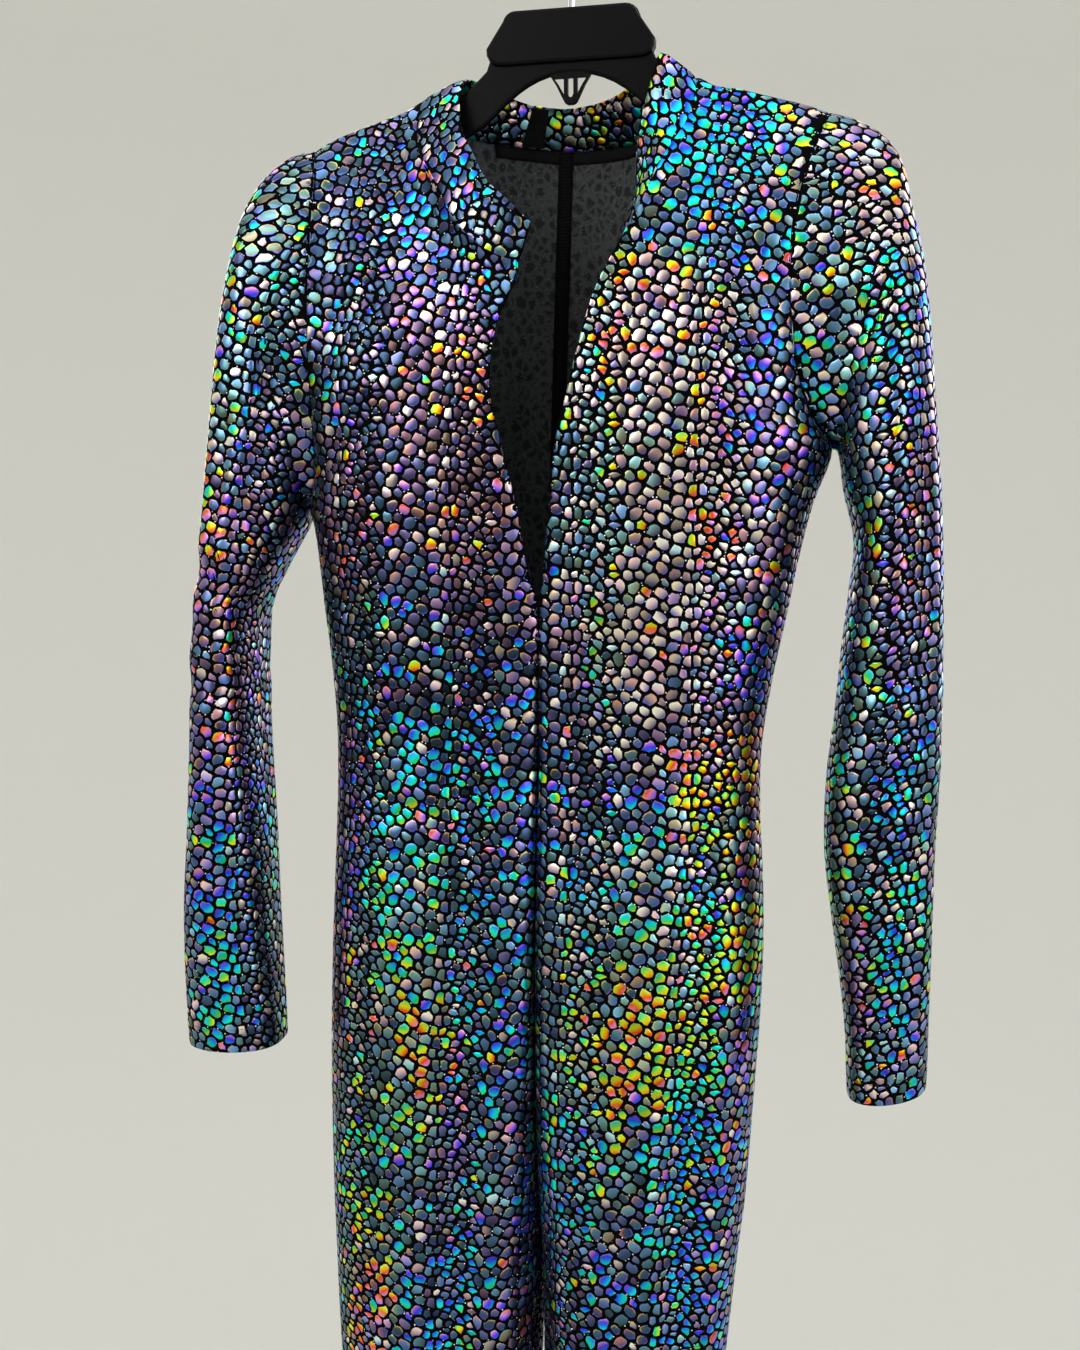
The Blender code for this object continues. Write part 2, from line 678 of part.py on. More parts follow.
def build_sleeve(side):
    rings = sleeve_rings(side)
    centres = [sum(ring, Vector()) / len(ring) for ring in rings]
    normals = grid_normals(rings, True, lambda r, c: rings[r][c] - centres[r])
    for c in range(len(rings[0])):
        normals[0][c] = flatten(normals[0][c], (0,))
    normals[0][0] = Vector((0, 0, 1))
    inner = inset(rings, normals, WALL)
    return wall_mesh(f"sleeve_{side}", rings, inner, True)


def away_from_panels():
    """For each collar station, the direction that leads off the panels below it."""
    grids = {(panel, side): panel_points(panel, side) for panel in ("front", "back") for side in ("left", "right")}
    quarter = NECK_COLUMNS
    found = [Vector() for _ in range(4 * quarter + 1)]
    for step in range(quarter + 1):
        for (panel, side), rows in grids.items():
            if panel == "front":
                off = rows[step][0] - rows[step][1]
                station = quarter - step if side == "left" else 3 * quarter + step
            else:
                off = rows[0][step] - rows[2][step]
                station = 2 * quarter - step if side == "left" else 2 * quarter + step
            found[station] += off.normalized()
    return [off.normalized() for off in found]


def collar_grid():
    """The collar's outer face, row by row from the neck seam to the top edge."""
    pairs = collar_stations()
    rows = []
    for turn in range(COLLAR_HEIGHT_TURNS + 1):
        share = turn / COLLAR_HEIGHT_TURNS
        rows.append([seam.lerp(top, share) for seam, top in pairs])
    return rows


def collar_normals(rows):
    middle = Vector((-8, 0, -160))
    return grid_normals(rows, False, lambda r, c: rows[r][c] - middle)


def build_collar():
    rows = collar_grid()
    inner = inset(rows, collar_normals(rows), COLLAR_WALL)
    for c, off in enumerate(away_from_panels()):
        seam = rows[0][c].copy()
        lift = max(3 * COLLAR_SEAT - (inner[0][c] - seam).dot(off), 0.0)
        inner[0][c] += off * lift
        inner[1][c] += off * lift / 2
        rows[0][c] = seam + off * COLLAR_SEAT
    return wall_mesh("collar", rows, inner, False)


def build_tab():
    """The tab lies on the inside of the collar, so it is made from its points."""
    rows = collar_grid()
    normals = collar_normals(rows)
    first = NECK_COLUMNS + TAB_STATION
    columns = (first, first + 1)
    near = COLLAR_WALL + SEAM
    far = near + TAB_THICKNESS
    grids = []
    for distance in (near, far):
        face = [[row[c] - normal[c] * distance for c in columns] for row, normal in zip(rows, normals)]
        face[0] = [p.lerp(q, 0.12) for p, q in zip(face[0], face[1])]
        face[-1] = [p.lerp(q, 0.12) for p, q in zip(face[-1], face[-2])]
        grids.append(face)
    return wall_mesh("back_tab", grids[0], grids[1], False)


def extrude_outline(name, outline, thickness, bevel):
    """A flat outline in the hanger's plane, with both faces and eased edges."""
    mesh = bpy.data.meshes.new(name)
    shape = bmesh.new()
    ring = [shape.verts.new((x * MM, -thickness / 2 * MM, z * MM)) for x, z in outline]
    face = shape.faces.new(ring)
    result = bmesh.ops.extrude_face_region(shape, geom=[face])
    moved = [g for g in result["geom"] if isinstance(g, bmesh.types.BMVert)]
    bmesh.ops.translate(shape, verts=moved, vec=(0, thickness * MM, 0))
    bmesh.ops.recalc_face_normals(shape, faces=shape.faces)
    if bevel:
        edges = [e for e in shape.edges if abs(e.verts[0].co.y - e.verts[1].co.y) < thickness * MM / 2]
        bmesh.ops.bevel(shape, geom=edges, offset=bevel * MM, segments=2, profile=0.5, affect="EDGES")
    shape.to_mesh(mesh)
    shape.free()
    item = bpy.data.objects.new(name, mesh)
    bpy.context.scene.collection.objects.link(item)
    return item


def arc(centre_x, centre_z, radius, start, end, steps):
    turns = [start + (end - start) * step / steps for step in range(steps + 1)]
    return [(centre_x + radius * math.cos(t), centre_z + radius * math.sin(t)) for t in turns]


def half_hanger():
    """The right half's outline, from the top middle round to the arch's crown."""
    corner = PLATE_CORNER
    points = [(PLATE_HALF_TOP - corner, PLATE_TOP)]
    points += arc(PLATE_HALF_TOP - corner, PLATE_TOP - corner, corner, math.radians(75), math.radians(15), 3)
    points += [(row.x, row.top) for row in ARM_TOP]
    points += [(174.5, -172.8), (ARM_END, -177.5), (ARM_END - 1, -182.0), (ARM_END - 5, ARM_FOOT_AT_END)]
    points += [(150.0, -180.0), (120.0, -173.5), (ARM_FOOT_X + 24, -167.0), (ARM_FOOT_X, ARM_FOOT_AT_PLATE)]
    points += [(54.0, -155.5)]
    for step in range(7):
        share = 1 - step / 6
        points.append((ARCH_HALF_WIDTH * share, ARCH_FOOT + (ARCH_CROWN - ARCH_FOOT) * (1 - share ** 2.2)))
    return points


def union(target, other, operation="UNION"):
    cut = target.modifiers.new(other.name, "BOOLEAN")
    cut.operation = operation
    cut.solver = "EXACT"
    cut.object = other
    other.hide_render = True
    other.display_type = "WIRE"


def lug_outline():
    right = [(LUG_HALF_TOP, ARCH_CROWN + 3), (LUG_HALF_TOP, ARCH_CROWN), (LUG_HALF_TOP - 4.5, -134.0)]
    right += [(LUG_HALF_FOOT + 0.6, -140.5), (LUG_HALF_FOOT - 1.4, -144.2), (LUG_HALF_FOOT - 3.4, LUG_FOOT)]
    return right + [(-x, z) for x, z in reversed(right)]


def lug_slots():
    bar = LUG_BAR
    middle = [(1.7, -129.5), (1.7, -139.5), (0.8, -141.3)]
    middle += [(-x, z) for x, z in reversed(middle)]
    right = [(LUG_HALF_TOP - bar - 0.6, -129.5), (7.6, -133.5), (4.9, -138.2), (1.7 + bar, -139.5), (1.7 + bar, -129.5)]
    left = [(-x, z) for x, z in reversed(right)]
    return [middle, right, left]


def build_hanger_body():
    half = half_hanger()
    outline = half + [(-x, z) for x, z in reversed(half[:-1])]
    body = extrude_outline("hanger_body", outline, ARM_THICKNESS, HANGER_BEVEL)
    low, corner = PLATE_FOOT, PLATE_CORNER
    plate = arc(PLATE_HALF_FOOT - corner, low + corner, corner, math.radians(-90), math.radians(10), 4)
    plate += arc(PLATE_HALF_TOP - corner, PLATE_TOP - corner, corner - 1, math.radians(15), math.radians(85), 4)
    plate += [(-x, z) for x, z in reversed(plate)]
    raised = extrude_outline("plate_face", plate, PLATE_THICKNESS, HANGER_BEVEL)
    lug = extrude_outline("lug", lug_outline(), LUG_THICKNESS, 0.5)
    for number, slot in enumerate(lug_slots()):
        cutter = extrude_outline(f"lug_slot_{number}", slot, LUG_THICKNESS * 2, 0)
        union(lug, cutter, "DIFFERENCE")
    union(body, raised)
    union(body, lug)
    return body


def lean_hanger(items):
    pivot = Matrix.Translation((0, 0, HANGER_PIVOT * MM))
    turn = pivot @ Matrix.Rotation(-HANGER_TILT, 4, "Y") @ pivot.inverted()
    for item in items:
        item.matrix_world = turn


def hook_points():
    """The wire's centreline: a stem, a bend and an open crook over the rail."""
    centre_z = WIRE_RADIUS - HOOK_RADIUS
    foot = [(0.0, HOOK_STEM_FOOT), (0.0, -74.0), (0.0, -58.0), (1.2, -50.5), (5.5, -44.0), (11.5, -38.5)]
    crook = arc(0.0, centre_z, HOOK_RADIUS, math.radians(-38), math.radians(205), 22)
    return foot + crook


def build_hook():
    curve = bpy.data.curves.new("hanger_hook", "CURVE")
    curve.dimensions = "3D"
    curve.bevel_depth = WIRE_RADIUS * MM
    curve.bevel_resolution = 3
    curve.use_fill_caps = True
    points = hook_points()
    line = curve.splines.new("POLY")
    line.points.add(len(points) - 1)
    for spot, (x, z) in zip(line.points, points):
        spot.co = (x * MM, 0, z * MM, 1)
    item = bpy.data.objects.new("hanger_hook", curve)
    bpy.context.scene.collection.objects.link(item)
    return item


def socket_cutter():
    """The round hole in the plate's top that takes the hook's stem."""
    length = PLATE_TOP - HOOK_STEM_FOOT + 6
    bpy.ops.mesh.primitive_cylinder_add(
        vertices=20,
        radius=(WIRE_RADIUS + SEAM) * MM,
        depth=length * MM,
        location=(0, 0, (HOOK_STEM_FOOT - SEAM + length / 2) * MM),
    )
    cutter = bpy.context.active_object
    cutter.name = "stem_socket"
    return cutter


def material(name, colour, metallic, roughness):
    shade = bpy.data.materials.new(name)
    shade.use_nodes = True
    shader = shade.node_tree.nodes["Principled BSDF"]
    shader.inputs["Base Color"].default_value = (*colour, 1)
    shader.inputs["Metallic"].default_value = metallic
    shader.inputs["Roughness"].default_value = roughness
    return shade


FINISHES = {
    "foil_knit": ((0.33, 0.36, 0.40), 0.6, 0.35),
    "black_tape": ((0.010, 0.010, 0.011), 0.0, 0.80),
    "black_plastic": ((0.012, 0.012, 0.013), 0.0, 0.38),
    "bright_wire": ((0.72, 0.73, 0.74), 1.0, 0.18),
}


def finish(item, name):
    shade = material(f"{item.name}_{name}", *FINISHES[name])
    item.data.materials.clear()
    item.data.materials.append(shade)


def main():
    clear_scene()
    for panel in ("front", "back"):
        for side in ("right", "left"):
            finish(build_panel(panel, side), "foil_knit")
    for side in ("right", "left"):
        finish(build_sleeve(side), "foil_knit")
    finish(build_collar(), "foil_knit")
    finish(build_tab(), "black_tape")
    body = build_hanger_body()
    helpers = [item for item in bpy.data.objects if item.name == "plate_face" or item.name.startswith("lug")]
    lean_hanger([body] + helpers)
    union(body, socket_cutter(), "DIFFERENCE")
    finish(body, "black_plastic")
    finish(build_hook(), "bright_wire")


main()
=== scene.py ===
"""The looks of a long-sleeved unitard in black stretch knit printed with foil scales, on its hanger.

The cloth shells follow the same tables as the part's solids, drawn finer, in millimetres.
The foil print is laid on as shallow angular scales from one charted repeat.
"""
from collections import namedtuple
import math

import bmesh
import bpy
import numpy as np
from mathutils import Matrix, Vector
from mathutils.bvhtree import BVHTree


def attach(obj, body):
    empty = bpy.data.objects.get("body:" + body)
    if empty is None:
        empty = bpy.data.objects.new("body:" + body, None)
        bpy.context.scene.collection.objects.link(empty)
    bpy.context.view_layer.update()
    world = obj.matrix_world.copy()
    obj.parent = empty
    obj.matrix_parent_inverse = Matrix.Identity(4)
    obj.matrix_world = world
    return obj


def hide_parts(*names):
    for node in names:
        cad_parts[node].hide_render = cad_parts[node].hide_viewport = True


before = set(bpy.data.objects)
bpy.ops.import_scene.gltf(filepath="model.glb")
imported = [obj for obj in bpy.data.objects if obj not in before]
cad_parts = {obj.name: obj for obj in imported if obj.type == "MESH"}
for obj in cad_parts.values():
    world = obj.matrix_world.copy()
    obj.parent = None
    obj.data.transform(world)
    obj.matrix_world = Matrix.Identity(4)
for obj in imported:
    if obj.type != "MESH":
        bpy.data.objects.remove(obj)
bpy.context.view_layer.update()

MM = 0.001
SEED = 11


def named_rows(kind, tables):
    """Gives the columns of several tables their names."""
    return {key: [kind(*row) for row in rows] for key, rows in tables.items()}


# Cloth and seams
WALL = 1.2
COLLAR_WALL = 2.2
SEAM = 0.3
SEAT = 0.9
RIDGE_RADIUS = 6.0
SEAM_START = 12.0
COLLAR_ROWS = 3

# Heights of the main stations, below the rail
OPENING_FOOT = -452.0
CROTCH = -872.0
ANKLE = -1607.0
UNDERARM = {"right": -352.0, "left": -396.0}

# Number of strips along and across the panels
NECK_COLUMNS = 7
SHOULDER_COLUMNS = 6
COLUMNS = NECK_COLUMNS + SHOULDER_COLUMNS
OPENING_ROWS = 4
YOKE_SHARES = (0.0, 0.008, 0.04, 0.11, 0.20, 0.30, 0.41, 0.53, 0.66, 0.78, 0.90)
NECK_SHARES = (0.0, 0.05, 0.18, 0.34, 0.51, 0.68, 0.84, 1.0)
YOKE_ROWS = len(YOKE_SHARES)
CHEST_ROWS = 3
TRUNK_ROWS = 14
LEG_ROWS = 15

# How square a section is towards its side seam, and how full the yoke and sleeves are
SIDE_POWER = 2.6
YOKE_FULLNESS = 0.85
YOKE_INNER_POWER = 3
YOKE_OUTER_POWER = 4
EASING_TURNS = 5
SLEEVE_SQUARENESS = 0.72

# The hanger, which leans a little because the garment hangs off its middle
HANGER_TILT = math.radians(2.2)
HANGER_PIVOT = -105.0

BodyRow = namedtuple("BodyRow", (
    "height right left front_mid back_mid front back front_in back_in inner gap peak"
))
BODY = [BodyRow(*row) for row in (
    (-352, 170.5, 172.0, 0.0, -9.0, 58, 54, 50, 50, 5.0, 0, 0.42),
    (-396, 158.0, 160.5, 0.0, -8.0, 57, 52, 50, 48, 5.0, 0, 0.42),
    (-452, 148.5, 153.0, -1.2, -6.0, 53, 50, 46, 45, 5.0, 0, 0.42),
    (-509, 139.2, 145.0, -1.0, -4.0, 48, 47, 39, 42, 5.0, 0, 0.42),
    (-550, 136.2, 141.9, -0.6, -2.0, 47, 47, 36, 41, 5.0, 0, 0.42),
    (-595, 138.6, 141.5, 0.0, 0.0, 49, 51, 36, 43, 5.0, 0, 0.42),
    (-640, 142.6, 142.4, 0.5, 1.0, 52, 57, 36, 45, 4.7, 0, 0.42),
    (-705, 143.8, 143.2, 1.6, 2.0, 55, 61, 33, 43, 4.4, 0, 0.43),
    (-770, 142.0, 142.8, 3.0, 3.5, 56, 62, 27, 35, 4.0, 0, 0.45),
    (-820, 140.5, 141.4, 4.4, 4.6, 56, 61, 19, 25, 3.7, 0, 0.46),
    (-850, 139.0, 140.2, 5.4, 5.4, 56, 60, 11, 15, 3.5, 0, 0.47),
    (-866, 137.6, 139.4, 5.9, 5.9, 56, 59, 5, 7, 3.4, 0, 0.48),
    (-872, 137.0, 139.0, 6.1, 6.1, 56, 59, 0, 0, 3.3, 0, 0.48),
    (-945, 132.2, 134.6, 8.6, 8.6, 55, 57, 0, 0, 3.0, 2.6, 0.49),
    (-1100, 122.0, 124.0, 8.0, 8.0, 52, 53, 0, 0, 2.6, 7.0, 0.50),
    (-1240, 113.0, 114.0, 6.0, 6.0, 48, 48, 0, 0, 2.3, 12.0, 0.50),
    (-1400, 103.5, 104.0, 4.0, 4.0, 42, 43, 0, 0, 2.2, 20.0, 0.50),
    (-1520, 97.0, 97.0, 3.0, 3.0, 37, 37, 0, 0, 2.0, 27.0, 0.50),
    (-1607, 93.5, 93.0, 2.5, 2.5, 34, 34, 0, 0, 2.0, 31.0, 0.50),
)]

OpeningRow = namedtuple("OpeningRow", "height left right depth")
OPENING = [OpeningRow(*row) for row in (
    (-233, -13.6, 42.5, 48),
    (-249, -18.4, 35.0, 50),
    (-265, -24.6, 27.4, 52),
    (-281, -29.8, 22.6, 53),
    (-305, -34.0, 17.4, 54),
    (-324, -33.2, 13.3, 55),
    (-345, -28.5, 8.2, 55),
    (-369, -21.0, 6.2, 54),
    (-393, -14.6, 4.2, 52),
    (-424, -9.0, 1.4, 49),
    (-452, -1.35, -1.05, 46),
)]

CollarRow = namedtuple("CollarRow", "seam_x seam_y seam_z top_x top_y top_z")
COLLAR_LEFT_FRONT = [CollarRow(*row) for row in (
    (-18.4, -52.0, -249.0, -11.8, -52.0, -225.5),
    (-35.6, -52.0, -241.7, -21.5, -50.5, -214.5),
    (-53.4, -50.0, -232.0, -33.5, -48.0, -208.5),
    (-61.5, -46.0, -218.0, -38.5, -45.0, -203.0),
    (-72.6, -38.0, -200.2, -45.5, -40.0, -191.5),
    (-84.0, -28.0, -184.0, -56.5, -30.0, -173.5),
    (-92.0, -16.0, -168.0, -64.0, -20.0, -159.0),
    (-93.5, -9.0, -148.0, -66.5, -10.0, -136.0),
)]
COLLAR_BACK = [CollarRow(*row) for row in (
    (-92.0, 0.0, -141.5, -66.0, 0.0, -128.0),
    (-83.0, 15.0, -149.5, -59.5, 13.0, -127.0),
    (-70.0, 31.0, -156.0, -50.0, 26.0, -129.8),
    (-53.0, 43.0, -157.5, -39.0, 36.0, -132.5),
    (-33.0, 49.5, -159.0, -27.0, 42.0, -134.5),
    (-9.0, 51.5, -161.0, -9.0, 43.5, -136.0),
    (14.0, 48.0, -161.0, 11.5, 39.0, -134.6),
    (38.0, 38.0, -159.5, 29.0, 28.0, -131.0),
    (57.0, 25.0, -153.5, 42.0, 17.5, -125.4),
    (70.0, 12.0, -142.5, 51.0, 8.0, -119.0),
    (77.5, 0.0, -131.5, 56.5, 0.0, -115.5),
)]
COLLAR_RIGHT_FRONT = [CollarRow(*row) for row in (
    (79.0, -8.0, -136.5, 55.0, -6.5, -120.0),
    (78.5, -15.0, -150.0, 51.0, -10.5, -137.0),
    (74.0, -22.5, -164.0, 47.5, -12.5, -153.0),
    (65.5, -32.0, -180.5, 44.0, -14.0, -170.5),
    (58.8, -38.0, -195.5, 44.5, -16.5, -185.5),
    (52.0, -44.0, -212.5, 45.5, -20.5, -199.0),
    (42.5, -48.0, -233.0, 42.8, -26.0, -216.0),
)]

ArmholeRow = namedtuple("ArmholeRow", "x depth z")
ARMHOLE = named_rows(ArmholeRow, {
    "right": [
        (156.5, 8, -157.5),
        (151.5, 20, -173),
        (143.5, 32, -205),
        (140.5, 38, -240),
        (142.5, 38, -280),
        (150.5, 29, -318),
        (162.0, 15, -342),
        (170.5, 0, -352),
    ],
    "left": [
        (-161.5, 8, -174.0),
        (-157.5, 20, -190),
        (-154.8, 32, -222),
        (-154.5, 38, -258),
        (-154.0, 38, -306),
        (-152.5, 29, -350),
        (-155.0, 15, -383),
        (-160.5, 0, -396),
    ],
})
ARMHOLE_TOP = {"right": 158.0, "left": -163.0}

SleeveRow = namedtuple("SleeveRow", "outer_x outer_z inner_x inner_z depth forward")
SLEEVE = named_rows(SleeveRow, {
    "right": [
        (176.5, -159.6, 173.6, -353, 44, 0),
        (191.5, -169.0, 175.0, -357, 45, 0),
        (202.0, -184.0, 176.3, -363, 46, 0),
        (209.0, -209.0, 177.8, -373, 47, 0),
        (217.5, -240.0, 181.0, -386, 47, -1),
        (222.8, -272.0, 185.2, -400, 47, -2),
        (227.0, -306.0, 186.8, -417, 46, -3),
        (231.6, -342.0, 185.2, -434, 45, -4),
        (236.0, -380.0, 183.6, -455, 44, -5),
        (240.0, -430.0, 182.0, -482, 43, -6),
        (243.0, -490.0, 180.2, -515, 42, -7),
        (244.8, -548.0, 177.4, -556, 41, -8),
        (244.8, -600.0, 178.6, -600, 39, -8),
        (245.8, -648.0, 185.8, -646, 37, -8),
        (247.0, -690.0, 193.6, -690, 34, -7),
        (248.2, -721.0, 198.2, -724, 32, -6),
        (248.7, -746.0, 200.8, -757, 30, -6),
    ],
    "left": [
        (-178.5, -174.3, -163.6, -397, 45, 0),
        (-190.5, -183.5, -165.0, -400, 46, 0),
        (-200.0, -196.0, -167.0, -405, 46, 0),
        (-206.6, -212.0, -170.2, -412, 47, 0),
        (-213.5, -238.0, -174.6, -421, 47, -1),
        (-218.6, -270.0, -180.6, -432, 47, -2),
        (-221.9, -306.0, -187.0, -444, 46, -3),
        (-224.8, -346.0, -193.0, -457, 45, -4),
        (-228.2, -390.0, -197.6, -473, 44, -5),
        (-232.6, -440.0, -197.8, -494, 43, -6),
        (-237.4, -500.0, -196.2, -524, 41, -7),
        (-238.6, -560.0, -193.2, -566, 40, -8),
        (-241.0, -610.0, -189.6, -610, 38, -8),
        (-244.4, -660.0, -186.2, -658, 36, -8),
        (-245.1, -702.0, -183.2, -700, 34, -7),
        (-244.6, -736.0, -181.0, -732, 32, -6),
        (-243.2, -764.0, -179.0, -761, 30, -6),
    ],
})

Fold = namedtuple("Fold", "top_x foot_x top foot depth width")
FOLDS = {
    "front_left": [Fold(-31, -44, -560, -1120, 9, 15), Fold(-104, -96, -640, -1010, 4, 13)],
    "front_right": [Fold(104, 100, -560, -960, 5, 14), Fold(44, 54, -960, -1380, 5, 13)],
    "back_left": [Fold(-62, -58, -600, -1080, 8, 16), Fold(-96, -70, -250, -480, 6, 16)],
    "back_right": [Fold(48, 66, -640, -1180, 8, 15), Fold(92, 74, -280, -520, 6, 16)],
}
SLEEVE_FOLDS = {
    "right": [Fold(0.30, 0.34, 0.30, 0.72, 4, 0.09), Fold(1.34, 1.26, 0.25, 0.75, 5, 0.10)],
    "left": [Fold(0.46, 0.40, 0.22, 0.62, 5, 0.10), Fold(1.42, 1.50, 0.30, 0.80, 5, 0.10)],
}

# The hanger's outline from its middle to one end, before it leans
HangerRow = namedtuple("HangerRow", "x top")
ARM_TOP = [HangerRow(*row) for row in (
    (53.0, -122.8),
    (64.0, -132.9),
    (76.0, -140.0),
    (94.0, -142.5),
    (128.0, -152.2),
    (150.0, -159.2),
    (168.0, -167.8),
)]

# How finely the cloth is drawn, how thick it is, and how its edges roll in at seams and hems
ROW_STEP = 7.0
COLUMN_STEP = 4.5
RING_STEP = 4.5
CLOTH_THICK = 0.9
EDGE_LINES = ((0.5, 0.35), (1.7, 0.0))
EDGE_ROLL = 0.45
SHELL_LIFT = 0.15

# The collar's fine grid, the fold at its top and how far its two faces lie apart when flat
COLLAR_ROW_STEP = 5.0
COLLAR_COLUMN_STEP = 4.0
COLLAR_MIDDLE = np.array([-8.0, 0.0, -160.0])
COLLAR_PUFF = 0.7
COLLAR_FOLD_START = 0.86
INNER_COLLAR_APART = 300.0

# The reference line from which the print is measured, level by level
GRAIN_HIGH, GRAIN_HIGH_Z = 105.0, -500.0
GRAIN_LOW, GRAIN_LOW_Z = 60.0, -1607.0

# The flat layouts: where they settle freely, and how a sleeve's cap leans at its top
SETTLE_TURNS = 700
SETTLE_FADE = 40.0
PANEL_SETTLES = -380.0
SLEEVE_SETTLES = -440.0
SLEEVE_APART = 200.0
CAP_FOOT, CAP_FADE, CAP_LEAN = -250.0, 70.0, 0.8

# The print's scales: points, gap between them, sharpness, oval room, inner ring and each ring's height
OUTLINE_POINTS = 12
RING_COUNTS = (1, OUTLINE_POINTS // 2, OUTLINE_POINTS)
GAP = 1.85
CORNER = 34.0
ROOM = 1.28
NEIGHBOUR_REACH = 14.0
INNER_RING = 0.76
LIFT = (0.26, 0.24, 0.06)
UNEVEN = 0.075
PRINT_REACH = 1.6
LEAST_SCALE = 1.8

# The print's repeat, charted one by one: each scale's place, size and turn
REPEAT_WIDE = 73.8
REPEAT_TALL = 14.7
Scale = namedtuple("Scale", "x y wide tall turn")
REPEAT = [Scale(*row) for row in (
    (8.5, 3.7, 7.7, 5.4, 38),
    (14.8, 5.4, 4.3, 7.1, 0),
    (21.2, 4.7, 5.9, 3.0, 38),
    (28.5, 2.8, 5.2, 2.8, -4),
    (26.7, 6.9, 5.0, 3.7, -8),
    (33.0, 6.5, 4.3, 6.9, 0),
    (36.8, 2.3, 4.3, 7.1, 24),
    (45.1, 4.0, 8.4, 3.2, -2),
    (53.7, 4.1, 5.8, 6.0, 4),
    (61.3, 3.5, 5.9, 4.9, 22),
    (68.5, 6.4, 9.8, 5.8, 30),
    (2.5, 8.5, 3.5, 8.1, 32),
    (10.1, 10.8, 6.4, 6.2, 0),
    (17.4, 12.7, 4.5, 7.6, 4),
    (23.1, 12.5, 4.6, 5.8, 0),
    (29.2, 13.0, 5.2, 3.4, 28),
    (37.6, 11.8, 3.4, 7.1, 30),
    (41.8, 9.0, 5.2, 3.9, 0),
    (44.6, 13.9, 4.2, 3.9, 8),
    (49.0, 11.1, 5.9, 7.3, -3),
    (57.4, 11.7, 8.4, 5.8, 40),
    (65.0, 13.8, 6.4, 5.5, 0),
    (-0.1, 0.5, 6.2, 7.6, 36),
)]

# Painted light on the foil: places seen from the front where it is painted as catching the light, with hue,
# vividness and brightness
Glow = namedtuple("Glow", "x z reach_x reach_z hue vivid bright")
PAINTED_GLOWS = [Glow(*row) for row in (
    (0, -118, 75, 26, 0.10, 0.80, 0.70),
    (-95, -225, 42, 60, 0.66, 0.25, 0.02),
    (-60, -330, 40, 50, 0.10, 0.02, -0.15),
    (-110, -400, 45, 60, 0.92, 0.02, -0.10),
    (-45, -410, 22, 40, 0.08, 0.15, 0.05),
    (88, -170, 45, 60, 0.52, 1.05, 0.25),
    (70, -290, 40, 45, 0.95, 0.15, 0.40),
    (95, -385, 50, 70, 0.06, 0.02, 0.40),
    (60, -480, 40, 70, 0.08, 0.00, 0.30),
    (130, -330, 25, 60, 0.66, 0.35, 0.10),
    (-70, -520, 70, 60, 0.60, 0.20, -0.25),
    (30, -560, 45, 60, 0.66, 0.15, -0.10),
    (120, -478, 25, 40, 0.64, 0.60, 0.05),
    (112, -563, 34, 32, 0.09, 0.80, 0.25),
    (-50, -560, 45, 42, 0.50, 0.50, 0.12),
    (75, -610, 36, 40, 0.40, 0.30, 0.25),
    (125, -660, 30, 40, 0.24, 0.95, 0.35),
    (80, -735, 50, 60, 0.08, 0.95, 0.30),
    (110, -800, 35, 60, 0.60, 0.40, 0.05),
    (-95, -640, 26, 70, 0.47, 0.60, 0.15),
    (-65, -740, 30, 60, 0.10, 0.60, 0.20),
    (-20, -690, 22, 90, 0.55, 0.45, 0.05),
    (-105, -850, 26, 60, 0.35, 0.55, 0.10),
    (-100, -930, 24, 60, 0.98, 0.55, 0.10),
    (-40, -900, 24, 90, 0.52, 0.50, 0.05),
    (20, -820, 22, 70, 0.50, 0.40, 0.10),
    (60, -900, 40, 70, 0.64, 0.30, 0.00),
    (112, -900, 24, 70, 0.60, 0.60, 0.15),
    (40, -1080, 30, 120, 0.50, 0.50, 0.10),
    (-75, -1100, 34, 120, 0.58, 0.45, 0.05),
    (80, -1250, 34, 120, 0.08, 0.45, 0.10),
    (-55, -1300, 34, 120, 0.30, 0.40, 0.05),
    (55, -1480, 40, 100, 0.55, 0.45, 0.05),
    (-60, -1500, 40, 100, 0.95, 0.40, 0.05),
    (-205, -260, 18, 70, 0.40, 0.45, 0.25),
    (-215, -420, 16, 90, 0.05, 0.35, 0.10),
    (-212, -640, 15, 80, 0.60, 0.80, 0.30),
    (-212, -720, 14, 50, 0.45, 0.80, 0.25),
    (195, -190, 25, 50, 0.97, 0.06, 0.55),
    (200, -290, 22, 70, 0.45, 0.50, 0.35),
    (215, -420, 18, 90, 0.92, 0.25, 0.05),
    (215, -560, 18, 80, 0.62, 0.35, 0.00),
    (225, -680, 17, 80, 0.54, 0.80, 0.30),
)]
# Painted light over the whole print: share of lit scales, brightness, where the sleeves begin and how much
# brighter they are painted, how weak the painted glows are on the back, and the share of scales with a
# painted glint on the rim
BASE_LIT = 0.10
BASE_LEVEL = 0.38
SLEEVES_FROM = 150.0
SLEEVES_PAINTED_BRIGHTER = 0.30
PAINTED_GLOW_BEHIND = 0.6
RIM_GLINT_SHARE = 0.34
